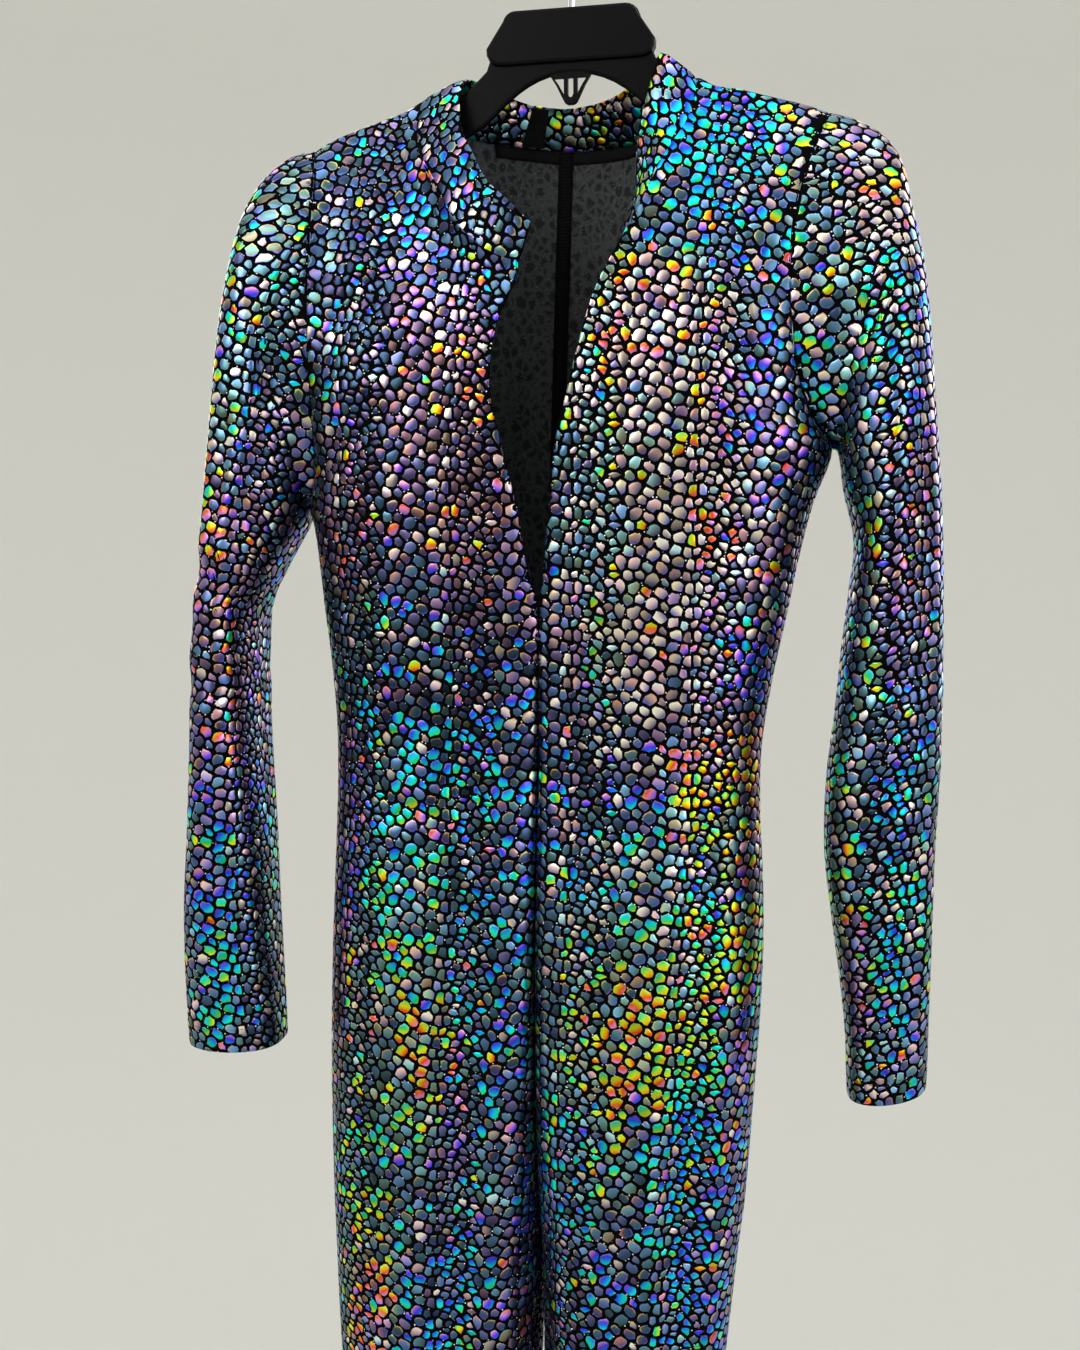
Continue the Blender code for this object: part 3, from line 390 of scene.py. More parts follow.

# The foil's painted light: its greys round the circle of hues where it is painted as unlit, its pale upper
# and lower edges where it is painted as catching the light, and its spectrum where it is painted as lit
GREYS = np.array([
    (0.00, 0.60, 0.32, 0.30), (0.16, 0.50, 0.43, 0.27), (0.33, 0.22, 0.44, 0.37), (0.50, 0.16, 0.36, 0.52),
    (0.62, 0.13, 0.25, 0.56), (0.75, 0.29, 0.23, 0.56), (0.88, 0.50, 0.28, 0.44), (1.00, 0.60, 0.32, 0.30),
])
CREAM, ROSE, MINT, LILAC = (1.0, 0.86, 0.66), (1.0, 0.66, 0.62), (0.55, 0.96, 0.96), (0.40, 0.38, 0.74)
SPECTRUM = np.array([
    (0.00, 1.00, 0.03, 0.02), (0.06, 1.00, 0.22, 0.01), (0.13, 1.00, 0.72, 0.01), (0.20, 0.70, 0.95, 0.02),
    (0.32, 0.03, 0.72, 0.10), (0.42, 0.01, 0.80, 0.62), (0.50, 0.01, 0.72, 1.00), (0.58, 0.01, 0.26, 1.00),
    (0.67, 0.02, 0.04, 1.00), (0.76, 0.20, 0.08, 0.90), (0.86, 0.72, 0.30, 0.80), (0.94, 1.00, 0.30, 0.32),
    (1.00, 1.00, 0.03, 0.02),
])
KNIT_BLACK = (0.0016, 0.0016, 0.002)
PLASTIC_BLACK = (0.0022, 0.0022, 0.0026)

# The shape of a soft crease: its bend, its fading ends and the ridge beside it
CREASE_BEND = 0.35
CREASE_FADE = 0.8
CREASE_DEEP = 20.0
RIDGE_SHARE = 0.45
RIDGE_AWAY = 1.9
CAP_RINGS = 5
CUFF_RINGS = 4

# Soft creases over the largest folds: ends on the panel, depth and half width
Crease = namedtuple("Crease", "x0 z0 x1 z1 depth width")
CREASES = named_rows(Crease, {
    "front_left": [
        (-150, -300, -96, -250, 2.2, 9),
        (-152, -372, -92, -330, 2.6, 10),
        (-146, -440, -104, -470, 2.0, 9),
        (-60, -520, -22, -640, 2.4, 8),
        (-126, -560, -70, -596, 1.8, 8),
        (-118, -900, -100, -1180, 3.0, 10),
        (-24, -960, -40, -1240, 2.6, 8),
        (-70, -1300, -60, -1560, 2.6, 9),
    ],
    "front_right": [
        (143, -262, 92, -226, 2.2, 9),
        (160, -338, 100, -300, 2.8, 10),
        (146, -430, 108, -400, 2.0, 9),
        (28, -480, 50, -600, 2.2, 8),
        (132, -575, 84, -610, 2.0, 8),
        (96, -700, 108, -960, 3.0, 10),
        (24, -930, 34, -1200, 2.6, 8),
        (76, -1260, 62, -1540, 2.8, 9),
    ],
    "back_left": [
        (-150, -290, -90, -240, 2.4, 10),
        (-20, -250, -34, -470, 2.6, 9),
        (-130, -520, -50, -560, 2.6, 10),
        (-118, -600, -44, -640, 2.2, 9),
        (-96, -860, -26, -800, 2.6, 9),
        (-100, -930, -86, -1300, 3.0, 10),
        (-36, -1120, -50, -1500, 2.6, 9),
    ],
    "back_right": [
        (142, -270, 84, -226, 2.4, 10),
        (26, -230, 38, -450, 2.6, 9),
        (134, -540, 48, -572, 2.6, 10),
        (120, -622, 40, -655, 2.2, 9),
        (104, -850, 34, -806, 2.6, 9),
        (102, -960, 84, -1350, 3.0, 10),
        (34, -1080, 46, -1460, 2.6, 9),
    ],
    "sleeve_left": [
        (-150, -330, -205, -300, 2.6, 9),
        (-240, -430, -196, -458, 2.4, 8),
        (-240, -520, -200, -500, 2.2, 8),
        (-215, -560, -208, -720, 1.8, 7),
    ],
    "sleeve_right": [
        (158, -300, 206, -262, 2.6, 9),
        (240, -470, 190, -500, 2.4, 8),
        (244, -560, 186, -540, 2.2, 8),
        (222, -590, 226, -720, 1.8, 7),
    ],
})

# The photograph's camera, in degrees, millimetres of lens and metres
CAMERA_TURN = 10.5
CAMERA_DOWN = 6.92
CAMERA_ROLL = 1.65
CAMERA_LENS = 37.333
CAMERA_PLACE = (0.15664, -0.88630, -0.391)

# The studio: floor, curved wall and lights, in metres and watts
FLOOR_Z = -1.72
FLOOR_RADIUS = 2.8
WALL_CURVE = 3.4
WALL_TOP = 4.2
BACKDROP = (0.74, 0.728, 0.668)
WORLD = (0.95, 0.97, 1.0)
WORLD_STRENGTH = 1.12
LIGHTS = [
    ("Key", (-2.4, -3.4, 1.5), (0, 0, -0.7), (2.8, 3.2), 92, (1.0, 0.98, 0.95)),
    ("Fill", (3.2, -2.8, 0.3), (0, 0, -0.8), (2.8, 3.2), 54, (0.94, 0.97, 1.0)),
    ("Back left", (-2.8, 3.0, 1.0), (0, 0, -0.7), (2.8, 3.2), 56, (1.0, 0.98, 0.95)),
    ("Back right", (3.0, 3.0, 0.6), (0, 0, -0.8), (2.8, 3.2), 60, (0.94, 0.97, 1.0)),
    ("Top", (0.2, -0.3, 2.6), (0, 0, -0.6), (2.4, 2.4), 16, (1, 1, 1)),
]

# The tape down the inside of the back, the one under the collar, and the hems' thread
STRIP_WIDE = 9.5
STRIP_FOOT = -850.0
NECK_STRIP_REACH = 62.0
HEM_ROWS = (13.0, 16.5)


def smooth_value(stations, values, at):
    """A cubic through the values, with slopes taken from the neighbours."""
    last = len(stations) - 1
    falling = stations[0] > stations[-1]
    keys = [-s for s in stations] if falling else list(stations)
    at = -at if falling else at
    at = min(max(at, keys[0]), keys[-1])
    index = 0
    while index < last - 1 and at > keys[index + 1]:
        index += 1
    span = keys[index + 1] - keys[index]

    def slope(i):
        low, high = max(i - 1, 0), min(i + 1, last)
        return (values[high] - values[low]) / (keys[high] - keys[low])

    t = (at - keys[index]) / span
    start, end = values[index], values[index + 1]
    rise, fall = slope(index) * span, slope(index + 1) * span
    return (
        start * (1 - 3 * t * t + 2 * t * t * t)
        + end * (3 * t * t - 2 * t * t * t)
        + rise * (t - 2 * t * t + t * t * t)
        + fall * (t * t * t - t * t)
    )


def read(table, column, height):
    """The value of one column of a table of heights."""
    return smooth_value([row.height for row in table], [getattr(row, column) for row in table], height)


class Path:
    """A smooth line through points, read by the share of its length."""

    def __init__(self, points):
        self.points = [Vector(p) for p in points]
        self.marks = [0.0]
        for a, b in zip(self.points, self.points[1:]):
            self.marks.append(self.marks[-1] + (b - a).length)

    def at(self, share):
        distance = share * self.marks[-1]
        axes = zip(*self.points)
        return Vector([smooth_value(self.marks, values, distance) for values in axes])


def lean(x, z):
    """A point of the hanger's plane after it has leaned about its pivot."""
    height = z - HANGER_PIVOT
    turned_x = x * math.cos(HANGER_TILT) - height * math.sin(HANGER_TILT)
    turned_z = x * math.sin(HANGER_TILT) + height * math.cos(HANGER_TILT)
    return turned_x, turned_z + HANGER_PIVOT


def arm_top(x):
    return smooth_value([row.x for row in ARM_TOP], [row.top for row in ARM_TOP], abs(x))


def ridge_height(x):
    """The top of the leaning arm at a distance from the garment's middle."""
    along = x
    for _ in range(4):
        along = (x + (arm_top(along) - HANGER_PIVOT) * math.sin(HANGER_TILT)) / math.cos(HANGER_TILT)
    return lean(along, arm_top(along))[1]


def shoulder_seam(side):
    """The seam that lies along the hanger's arm, from the neck to the sleeve."""
    sign = 1 if side == "right" else -1
    neck = COLLAR_BACK[-1] if side == "right" else COLLAR_BACK[0]
    points = [(neck.seam_x, 0.0, neck.seam_z)]
    tip = ARMHOLE_TOP[side]
    start = abs(neck.seam_x) + SEAM_START
    for step in range(SHOULDER_COLUMNS):
        x = sign * (start + (abs(tip) - start) * step / (SHOULDER_COLUMNS - 1))
        points.append((x, 0.0, ridge_height(x) + WALL + SEAT))
    return Path(points)


def collar_paths(rows):
    seam = Path([(r.seam_x, r.seam_y, r.seam_z) for r in rows])
    top = Path([(r.top_x, r.top_y, r.top_z) for r in rows])
    return seam, top


COLLAR_SPANS = [
    COLLAR_LEFT_FRONT + COLLAR_BACK[:1],
    COLLAR_BACK[:6],
    COLLAR_BACK[5:],
    COLLAR_BACK[-1:] + COLLAR_RIGHT_FRONT,
]


def collar_stations():
    """Pairs of points on the neck seam and the collar's top edge, all the way round."""
    pairs = []
    from_shoulder = list(NECK_SHARES)
    to_shoulder = [1 - share for share in reversed(NECK_SHARES)]
    even = [step / NECK_COLUMNS for step in range(NECK_COLUMNS + 1)]
    for rows, shares in zip(COLLAR_SPANS, (to_shoulder, even, even, from_shoulder)):
        seam, top = collar_paths(rows)
        for share in shares[1:] if pairs else shares:
            pairs.append((seam.at(share), top.at(share)))
    return pairs


def neck_edge(panel, side):
    """The neck seam's points on one panel, from the centre to the shoulder."""
    points = [pair[0] for pair in collar_stations()]
    quarter = NECK_COLUMNS
    if panel == "front":
        return points[: quarter + 1] if side == "left" else points[3 * quarter:][::-1]
    if side == "left":
        return points[quarter: 2 * quarter + 1][::-1]
    return points[2 * quarter: 3 * quarter + 1]


def armhole(panel, side):
    """The armhole from the shoulder seam down to the underarm."""
    tip = ARMHOLE_TOP[side]
    sign = -1 if panel == "front" else 1
    points = [(tip, 0.0, ridge_height(tip) + WALL + SEAT)]
    points += [(row.x, sign * row.depth, row.z) for row in ARMHOLE[side]]
    return Path(points)


def side_seam(side, height):
    return read(BODY, side, height) * (1 if side == "right" else -1)


def inner_edge(panel, side, height):
    """Where a panel ends at the middle: opening edge, centre seam or inseam."""
    sign = 1 if side == "right" else -1
    half_seam = SEAM / 2
    front = panel == "front"
    if front and height > OPENING_FOOT + 0.01:
        return Vector((read(OPENING, side, height), -read(OPENING, "depth", height), height))
    middle = read(BODY, "front_mid" if front else "back_mid", height)
    depth = max(read(BODY, "front_in" if front else "back_in", height), half_seam)
    half_gap = half_seam
    if height < CROTCH - 0.01:
        half_gap = max(half_seam, read(BODY, "gap", height) / 2)
        depth = half_seam
    return Vector((middle + sign * half_gap, -depth if front else depth, height))


def section(panel, side, height):
    """One level line of a panel, from its inner edge round to the side seam."""
    front = panel == "front"
    start = inner_edge(panel, side, height)
    outer_x = side_seam(side, height)
    depth = read(BODY, "front" if front else "back", height)
    inner_power = read(BODY, "inner", height)
    peak = read(BODY, "peak", height)
    rise = abs(start.y)
    line = []
    for column in range(COLUMNS + 1):
        angle = math.pi * column / COLUMNS
        if angle <= math.pi / 2:
            reach = math.cos(angle)
            share = peak * (1 - reach)
            bulge = rise + (depth - rise) * math.sqrt(max(0.0, 1 - reach ** inner_power))
        else:
            reach = -math.cos(angle)
            share = peak + (1 - peak) * reach
            bulge = depth * math.sqrt(max(0.0, 1 - reach ** SIDE_POWER))
        if column == COLUMNS:
            bulge = 0.0
        bulge = max(bulge, SEAM / 2)
        x = start.x + (outer_x - start.x) * share
        line.append(Vector((x, -bulge if front else bulge, height)))
    line[0] = start
    return line


def fold_push(folds, point):
    """How far the folds pull one point of a panel inwards."""
    push = 0.0
    for fold in folds:
        along = (fold.top - point.z) / (fold.top - fold.foot)
        if 0 < along < 1:
            centre = fold.top_x + (fold.foot_x - fold.top_x) * along
            across = (point.x - centre) / fold.width
            push += fold.depth * math.sin(math.pi * along) ** 0.7 * math.exp(-across * across)
    return push


def loft(top, foot, share):
    """A point between the top edge and the underarm line, fullest in the middle."""
    point = top.lerp(foot, share)
    point.y = top.y + (foot.y - top.y) * math.sin(math.pi / 2 * share) ** YOKE_FULLNESS
    return point


def yoke_edges(panel, side, foot_line):
    """The yoke's top edge and its inner edge, point by point."""
    neck = [point.copy() for point in neck_edge(panel, side)]
    shoulder = shoulder_seam(side)
    foot = foot_line[0].z
    if panel == "front":
        inner = neck[::-1]
        fall = foot - neck[0].z
        for row in range(1, OPENING_ROWS):
            inner.append(inner_edge(panel, side, neck[0].z + fall * row / OPENING_ROWS))
        return [shoulder.at(step / COLUMNS) for step in range(COLUMNS + 1)], inner
    neck[0].x += SEAM if side == "right" else -SEAM
    top = neck + [shoulder.at(step / SHOULDER_COLUMNS) for step in range(1, SHOULDER_COLUMNS + 1)]
    fall = foot - neck[0].z
    inner = neck[:1] + [inner_edge(panel, side, neck[0].z + fall * share) for share in YOKE_SHARES[1:]]
    return top, inner


def yoke(panel, side, foot_line):
    """The part above the underarm, blended between its four edges."""
    top, inner = yoke_edges(panel, side, foot_line)
    hole = armhole(panel, side)
    rows = []
    for share, start in zip(YOKE_SHARES, inner):
        outer = hole.at(share)
        pull_in = start - loft(top[0], foot_line[0], share)
        pull_out = outer - loft(top[-1], foot_line[-1], share)
        line = []
        for column in range(COLUMNS + 1):
            across = column / COLUMNS
            near = Vector((1 - across, (1 - across) ** YOKE_INNER_POWER, 1 - across))
            far = Vector((across, across ** YOKE_OUTER_POWER, across))
            line.append(loft(top[column], foot_line[column], share) + pull_in * near + pull_out * far)
        line[0], line[-1] = start.copy(), outer.copy()
        rows.append(line)
    rows[0] = [point.copy() for point in top]
    return rows


def ease_depth(rows):
    """Evens the depth where the yoke runs into the chest."""
    for _ in range(EASING_TURNS):
        before = [[point.y for point in line] for line in rows]
        for r in range(2, YOKE_ROWS + CHEST_ROWS + 1):
            for c in range(1, COLUMNS):
                around = before[r - 1][c] + before[r + 1][c] + before[r][c - 1] + before[r][c + 1]
                rows[r][c].y = (before[r][c] + around / 4) / 2


def clear_ridge(rows, first, side_of):
    """Keeps the cloth round the hanger's arm next to the shoulder seam."""
    for line in rows[1:YOKE_ROWS]:
        for column in range(max(first, 1), COLUMNS):
            over = line[column]
            drop = min(max(ridge_height(over.x) + WALL + SEAT - over.z, 0.0), RIDGE_RADIUS)
            room = math.sqrt(2 * RIDGE_RADIUS * drop - drop * drop)
            room *= 0.8 if column == first else 1.0
            over.y = side_of * max(abs(over.y), room)


def lower_heights(side):
    """Levels from the underarm to the ankle, closer together near the crotch."""
    foot = UNDERARM[side]
    heights = [foot + (OPENING_FOOT - foot) * row / CHEST_ROWS for row in range(CHEST_ROWS)]
    for row in range(TRUNK_ROWS):
        share = 1 - (1 - row / TRUNK_ROWS) ** 1.5
        heights.append(OPENING_FOOT + (CROTCH - OPENING_FOOT) * share)
    for row in range(LEG_ROWS + 1):
        heights.append(CROTCH + (ANKLE - CROTCH) * (row / LEG_ROWS) ** 1.25)
    return heights


def shoulder_start(panel):
    """The column at which the top row reaches the shoulder seam."""
    return 0 if panel == "front" else NECK_COLUMNS


def panel_points(panel, side):
    """All rows of one panel's outer face, from the neck down to the ankle."""
    lower = [section(panel, side, height) for height in lower_heights(side)]
    rows = yoke(panel, side, lower[0]) + lower
    into = 1 if panel == "front" else -1
    half_seam = SEAM / 2
    folds = FOLDS[f"{panel}_{side}"]
    first = shoulder_start(panel)
    ease_depth(rows)
    clear_ridge(rows, first, -into)
    for line in rows:
        for number, point in enumerate(line):
            if 0 < number < COLUMNS:
                room = max(0.0, abs(point.y) - 12) / 20
                point.y += into * fold_push(folds, point) * min(1.0, room)
        line[-1].y = -into * max(abs(line[-1].y), half_seam)
    for point in rows[0][first:]:
        point.y = -into * half_seam
    return rows


def sleeve_loop(side):
    """The armhole's points, front first, from the shoulder and back to it."""
    front, back = armhole("front", side), armhole("back", side)
    shares = YOKE_SHARES + (1.0,)
    loop = [front.at(share) for share in shares]
    loop += [back.at(share) for share in shares[-2:0:-1]]
    return loop


def sleeve_rings(side):
    """The sleeve's outer face, ring by ring from the armhole down to the cuff."""
    sign = 1 if side == "right" else -1
    loop = sleeve_loop(side)
    first = [point + Vector((sign * SEAM, 0, 0)) for point in loop]
    top, foot = first[0], first[YOKE_ROWS]
    axis = foot - top
    rings = [first]
    width = len(first)
    for number, row in enumerate(SLEEVE[side]):
        keep = max(0.0, 0.75 - 0.25 * number)
        outer = Vector((row.outer_x, row.forward, row.outer_z))
        inner = Vector((row.inner_x, row.forward, row.inner_z))
        ring = []
        for k in range(width):
            angle = 2 * math.pi * k / width
            share = (1 - math.cos(angle)) / 2
            round_point = outer.lerp(inner, share)
            turn = math.sin(angle)
            round_point.y -= row.depth * math.copysign(abs(turn) ** SLEEVE_SQUARENESS, turn)
            along = (loop[k] - loop[0]).dot(axis) / axis.dot(axis)
            sewn_point = outer.lerp(inner, along)
            sewn_point.y += loop[k].y
            ring.append(round_point.lerp(sewn_point, keep))
        rings.append(ring)
    for r in range(3, len(rings)):
        for k in range(width):
            push = sleeve_fold_push(SLEEVE_FOLDS[side], r / (len(rings) - 1), 2 * k / width)
            middle = (rings[r][0] + rings[r][width // 2]) / 2
            inward = (middle - rings[r][k]).normalized()
            rings[r][k] = rings[r][k] + inward * push
    return rings


def sleeve_fold_push(folds, along, turn):
    """How far the folds pull one point of a sleeve inwards."""
    push = 0.0
    for fold in folds:
        share = (along - fold.top) / (fold.foot - fold.top)
        if 0 < share < 1:
            aside = (turn - (fold.top_x + (fold.foot_x - fold.top_x) * share)) / fold.width
            push += fold.depth * math.sin(math.pi * share) * math.exp(-aside ** 2)
    return push


def collar_grid():
    """The collar's outer face, row by row from the neck seam to the top edge."""
    pairs = collar_stations()
    rows = []
    for turn in range(COLLAR_ROWS + 1):
        share = turn / COLLAR_ROWS
        rows.append([seam.lerp(top, share) for seam, top in pairs])
    return rows


def unit(vectors):
    return vectors / np.maximum(np.linalg.norm(vectors, axis=-1, keepdims=True), 1e-9)


def as_array(rows):
    return np.array([[tuple(point) for point in line] for line in rows], float)


def swapped(grid):
    """The grid with its rows as columns."""
    return np.swapaxes(grid, 0, 1)


def resample(grid, step, closed=False):
    """The grid with its first axis drawn finer, by cubics through the same points."""
    ahead = np.roll(grid, -1, axis=0) if closed else grid[1:]
    here = grid if closed else grid[:-1]
    spans = np.linalg.norm(ahead - here, axis=2).mean(axis=1)
    slopes = np.empty_like(grid)
    if closed:
        slopes[:] = (ahead - np.roll(grid, 1, axis=0)) / (np.roll(spans, 1) + spans)[:, None, None]
    else:
        slopes[1:-1] = (grid[2:] - grid[:-2]) / (spans[:-1] + spans[1:])[:, None, None]
        slopes[0] = (grid[1] - grid[0]) / spans[0]
        slopes[-1] = (grid[-1] - grid[-2]) / spans[-1]
    lines = []
    for i, span in enumerate(spans):
        end = (i + 1) % len(grid)
        count = max(1, math.ceil(span / step))
        for t in np.arange(count) / count:
            rise = slopes[i] * span * (t - 2 * t * t + t ** 3)
            fall = slopes[end] * span * (t ** 3 - t * t)
            blend = 3 * t * t - 2 * t ** 3
            lines.append(grid[i] * (1 - blend) + grid[end] * blend + rise + fall)
    if not closed:
        lines.append(grid[-1])
    return np.array(lines)


def lines_near(edge, neighbour):
    """The lines next to an edge, each at its own distance and never past the neighbouring line."""
    gap = np.maximum(np.linalg.norm(neighbour - edge, axis=-1, keepdims=True), 1e-6)
    lines = []
    for number, (away, _) in enumerate(EDGE_LINES):
        share = np.minimum(away / gap, 0.35 + 0.3 * number)
        lines.append(edge + (neighbour - edge) * share)
    return lines


def with_edge_lines(grid):
    """Adds the lines next to the first and last line at which a hem or seam rolls in."""
    start, end = lines_near(grid[0], grid[1]), lines_near(grid[-1], grid[-2])
    return np.concatenate([grid[:1], start, grid[1:-1], end[::-1], grid[-1:]])


def normals_of(grid, closed):
    along = np.gradient(grid, axis=0)
    side = np.roll(grid, -1, axis=1) - np.roll(grid, 1, axis=1) if closed else np.gradient(grid, axis=1)
    return unit(np.cross(side, along))


def outward(normals, direction):
    """The normals, turned over if they point against a direction."""
    return -normals if (normals * direction).sum() < 0 else normals


def from_middle(rings):
    """The way from each ring's middle out to its points."""
    return rings - rings.mean(axis=1, keepdims=True)


def roll_edges(grid, normals, sides):
    """Lowers the lines next to each edge, so that every edge is rounded."""
    depth = np.zeros(grid.shape[:2])
    for n, (_, part) in enumerate(((0.0, 1.0),) + EDGE_LINES):
        depth[n] = np.maximum(depth[n], part)
        depth[-1 - n] = np.maximum(depth[-1 - n], part)
        if sides:
            depth[:, n] = np.maximum(depth[:, n], part)
            depth[:, -1 - n] = np.maximum(depth[:, -1 - n], part)
    return grid - normals * (depth * EDGE_ROLL)[:, :, None]


def crease_depth(grid, creases):
    """How deep the creases are at each point, as soft troughs that fade at their ends."""
    depth = np.zeros(grid.shape[:2])
    for crease in creases:
        start = np.array([crease.x0, crease.z0])
        run = np.array([crease.x1, crease.z1]) - start
        place = grid[:, :, (0, 2)] - start
        along = (place @ run) / (run @ run)
        off = np.abs(place[:, :, 0] * run[1] - place[:, :, 1] * run[0]) / np.linalg.norm(run)
        bend = CREASE_BEND * crease.width * np.sin(along * 3.1)
        fade = np.clip(np.sin(np.pi * np.clip(along, 0, 1)), 0, 1) ** CREASE_FADE
        trough = np.exp(-((off - bend) / crease.width) ** 2)
        ridge = RIDGE_SHARE * np.exp(-((off - bend - RIDGE_AWAY * crease.width) / crease.width) ** 2)
        depth += crease.depth * fade * (trough - ridge)
    return depth


def edge_room(count):
    """Falls to nothing at both ends, so that a crease never moves a seam."""
    share = np.linspace(0, 1, count)
    return np.clip(np.minimum(share, 1 - share) * 9, 0, 1)


def settles_above(grid, height):
    """How freely each point of a flat layout may settle: not at all below a height."""
    return np.clip((grid[..., 2] - height) / SETTLE_FADE, 0, 1)


class Cloth:
    """One sheet of cloth: its fine grid in millimetres, its normals and its flat coordinates."""

    def __init__(self, grid, flat, facing, closed=False, roll=True):
        self.closed = closed
        self.flat = flat
        self.normals = outward(normals_of(grid, closed), facing)
        if roll:
            grid = roll_edges(grid, self.normals, not closed)
        self.grid = grid + self.normals * SHELL_LIFT
        self.open_grid, self.open_normals = self.grid, self.normals


def panel_cloth(panel, side):
    """One front or back panel with its leg and its creases, drawn finely."""
    grid = resample(as_array(panel_points(panel, side)), ROW_STEP)
    grid = swapped(resample(swapped(grid), COLUMN_STEP))
    facing = np.array([0.0, -1.0 if panel == "front" else 1.0, 0.0])
    room = edge_room(grid.shape[1])[None, :] * np.clip(np.abs(grid[..., 1]) / CREASE_DEEP - 0.35, 0, 1)
    push = crease_depth(grid, CREASES[f"{panel}_{side}"]) * room
    grid = grid - outward(normals_of(grid, False), facing) * push[..., None]
    grid = swapped(with_edge_lines(swapped(with_edge_lines(grid))))
    flat = flat_panel(grid, 1 if side == "right" else -1, UNDERARM[side])
    return Cloth(grid, settle_flat(flat, grid, settles_above(grid, PANEL_SETTLES)), facing)


def flat_panel(grid, sign, underarm):
    """Lays a panel out flat: u along the rows from the grain line, v down the columns."""
    steps = np.diff(grid, axis=0)
    fall = np.hypot(steps[..., 1], steps[..., 2]) * np.sign(-steps[..., 2])
    down = np.concatenate([np.zeros((1, grid.shape[1])), np.cumsum(fall, axis=0)])
    level = int(np.argmin(np.abs(grid[:, -1, 2] - underarm)))
    down += -grid[level, :, 2] - down[level]
    return np.stack([lay_across(grid, down, sign), down], axis=-1)


def grain_line(height):
    share = np.clip((GRAIN_HIGH_Z - height) / (GRAIN_HIGH_Z - GRAIN_LOW_Z), 0, 1)
    return GRAIN_HIGH + (GRAIN_LOW - GRAIN_HIGH) * share


def lay_across(grid, down, side_sign):
    """How far each point lies across the grain, row by row, without stretch."""
    step = np.diff(grid, axis=1)
    whole = np.linalg.norm(step, axis=2)
    level = np.sqrt(np.maximum(whole ** 2 - np.diff(down, axis=1) ** 2, (0.3 * whole) ** 2))
    out = np.empty(grid.shape[:2])
    for row in range(len(grid)):
        run = np.concatenate([[0.0], np.cumsum(level[row])])
        x = grid[row, :, 0]
        sign = 1 if x[-1] > x[0] else -1
        line = grain_line(grid[row, :, 2].mean()) * side_sign
        at = np.interp(sign * line, np.maximum.accumulate(sign * x), run)
        out[row] = line + sign * (run - at)
    return out


def settle_flat(flat, grid, free):
    """Lets part of a flat layout settle until its lengths agree with the cloth's."""
    whole, most, least = slice(None), slice(1, None), slice(None, -1)
    pairs = [
        ((least, whole), (most, whole)),
        ((whole, least), (whole, most)),
        ((least, least), (most, most)),
        ((least, most), (most, least)),
    ]
    rests = [np.linalg.norm(grid[b] - grid[a], axis=2) for a, b in pairs]
    ties = np.zeros(flat.shape[:2])
    for a, b in pairs:
        ties[a] += 1
        ties[b] += 1
    ease = (1.3 * free / ties)[..., None]
    flat = flat.copy()
    for _ in range(SETTLE_TURNS):
        push = np.zeros_like(flat)
        for (a, b), rest in zip(pairs, rests):
            gap = flat[b] - flat[a]
            long = np.maximum(np.linalg.norm(gap, axis=2), 1e-6)
            move = gap * (0.5 - 0.5 * rest / long)[..., None]
            push[a] += move
            push[b] -= move
        flat += push * ease
    return flat


def girth_from(tube, middle):
    """How far round the tube each point lies from the middle line, measured level."""
    rows, columns = tube.shape[:2]
    girth = np.zeros((rows, columns))
    for way in (-1, 1):
        reached = np.arange(middle + way, columns if way > 0 else -1, way)
        heights = tube[..., 2][:, reached]
        before = None
        for n, column in enumerate(np.concatenate([[middle], reached])):
            line = tube[::-1, column]
            here = np.stack([np.interp(heights, line[:, 2], line[:, axis]) for axis in range(3)], axis=-1)
            if before is not None:
                step = np.linalg.norm(here - before, axis=2)
                girth[:, reached[n - 1:]] += way * step[:, n - 1:]
            before = here
    return girth


def sleeve_grid(side):
    """A sleeve's rings with its creases, drawn finely."""
    rings = resample(as_array(sleeve_rings(side)), ROW_STEP)
    rings = swapped(resample(swapped(rings), RING_STEP, closed=True))
    number = np.arange(len(rings))
    room = np.clip(number / CAP_RINGS, 0, 1) * np.clip((len(rings) - 1 - number) / CUFF_RINGS, 0, 1)
    push = crease_depth(rings, CREASES[f"sleeve_{side}"]) * room[:, None]
    normals = outward(normals_of(rings, True), from_middle(rings))
    return with_edge_lines(rings - normals * push[..., None])


def flat_sleeve(opened, normals, sign):
    """Lays an opened sleeve out flat: u round the arm, v down it, with the cap leaning at its top."""
    fall = np.diff(opened, axis=0)
    facing = unit(normals[:-1] + normals[1:])
    tilt = np.clip((opened[:-1, :, 2] - CAP_FOOT) / CAP_FADE, 0, 1)
    grain = np.stack([CAP_LEAN * sign * tilt, np.zeros_like(tilt), -np.ones_like(tilt)], axis=-1)
    grain = unit(grain - facing * (grain * facing).sum(axis=2, keepdims=True))
    drop = (fall * grain).sum(axis=2)
    down = np.concatenate([-np.cumsum(drop[::-1], axis=0)[::-1], np.zeros((1, opened.shape[1]))])
    down -= opened[-1, :, 2].mean()
    middle = (opened.shape[1] - 1) // 2
    flat = np.stack([sign * SLEEVE_APART + girth_from(opened, middle), down], axis=-1)
    return settle_flat(flat, opened, settles_above(opened, SLEEVE_SETTLES))


def sleeve_cloth(side):
    """One sleeve as a closed tube, which its flat layout opens along the inner arm."""
    rings = sleeve_grid(side)
    half = rings.shape[1] // 2
    order = np.concatenate([np.arange(half, rings.shape[1]), np.arange(half + 1)])
    normals = outward(normals_of(rings, True), from_middle(rings))
    flat = flat_sleeve(rings[:, order], normals[:, order], 1 if side == "right" else -1)
    cloth = Cloth(rings, flat, from_middle(rings), closed=True)
    cloth.open_grid, cloth.open_normals = cloth.grid[:, order], cloth.normals[:, order]
    return cloth


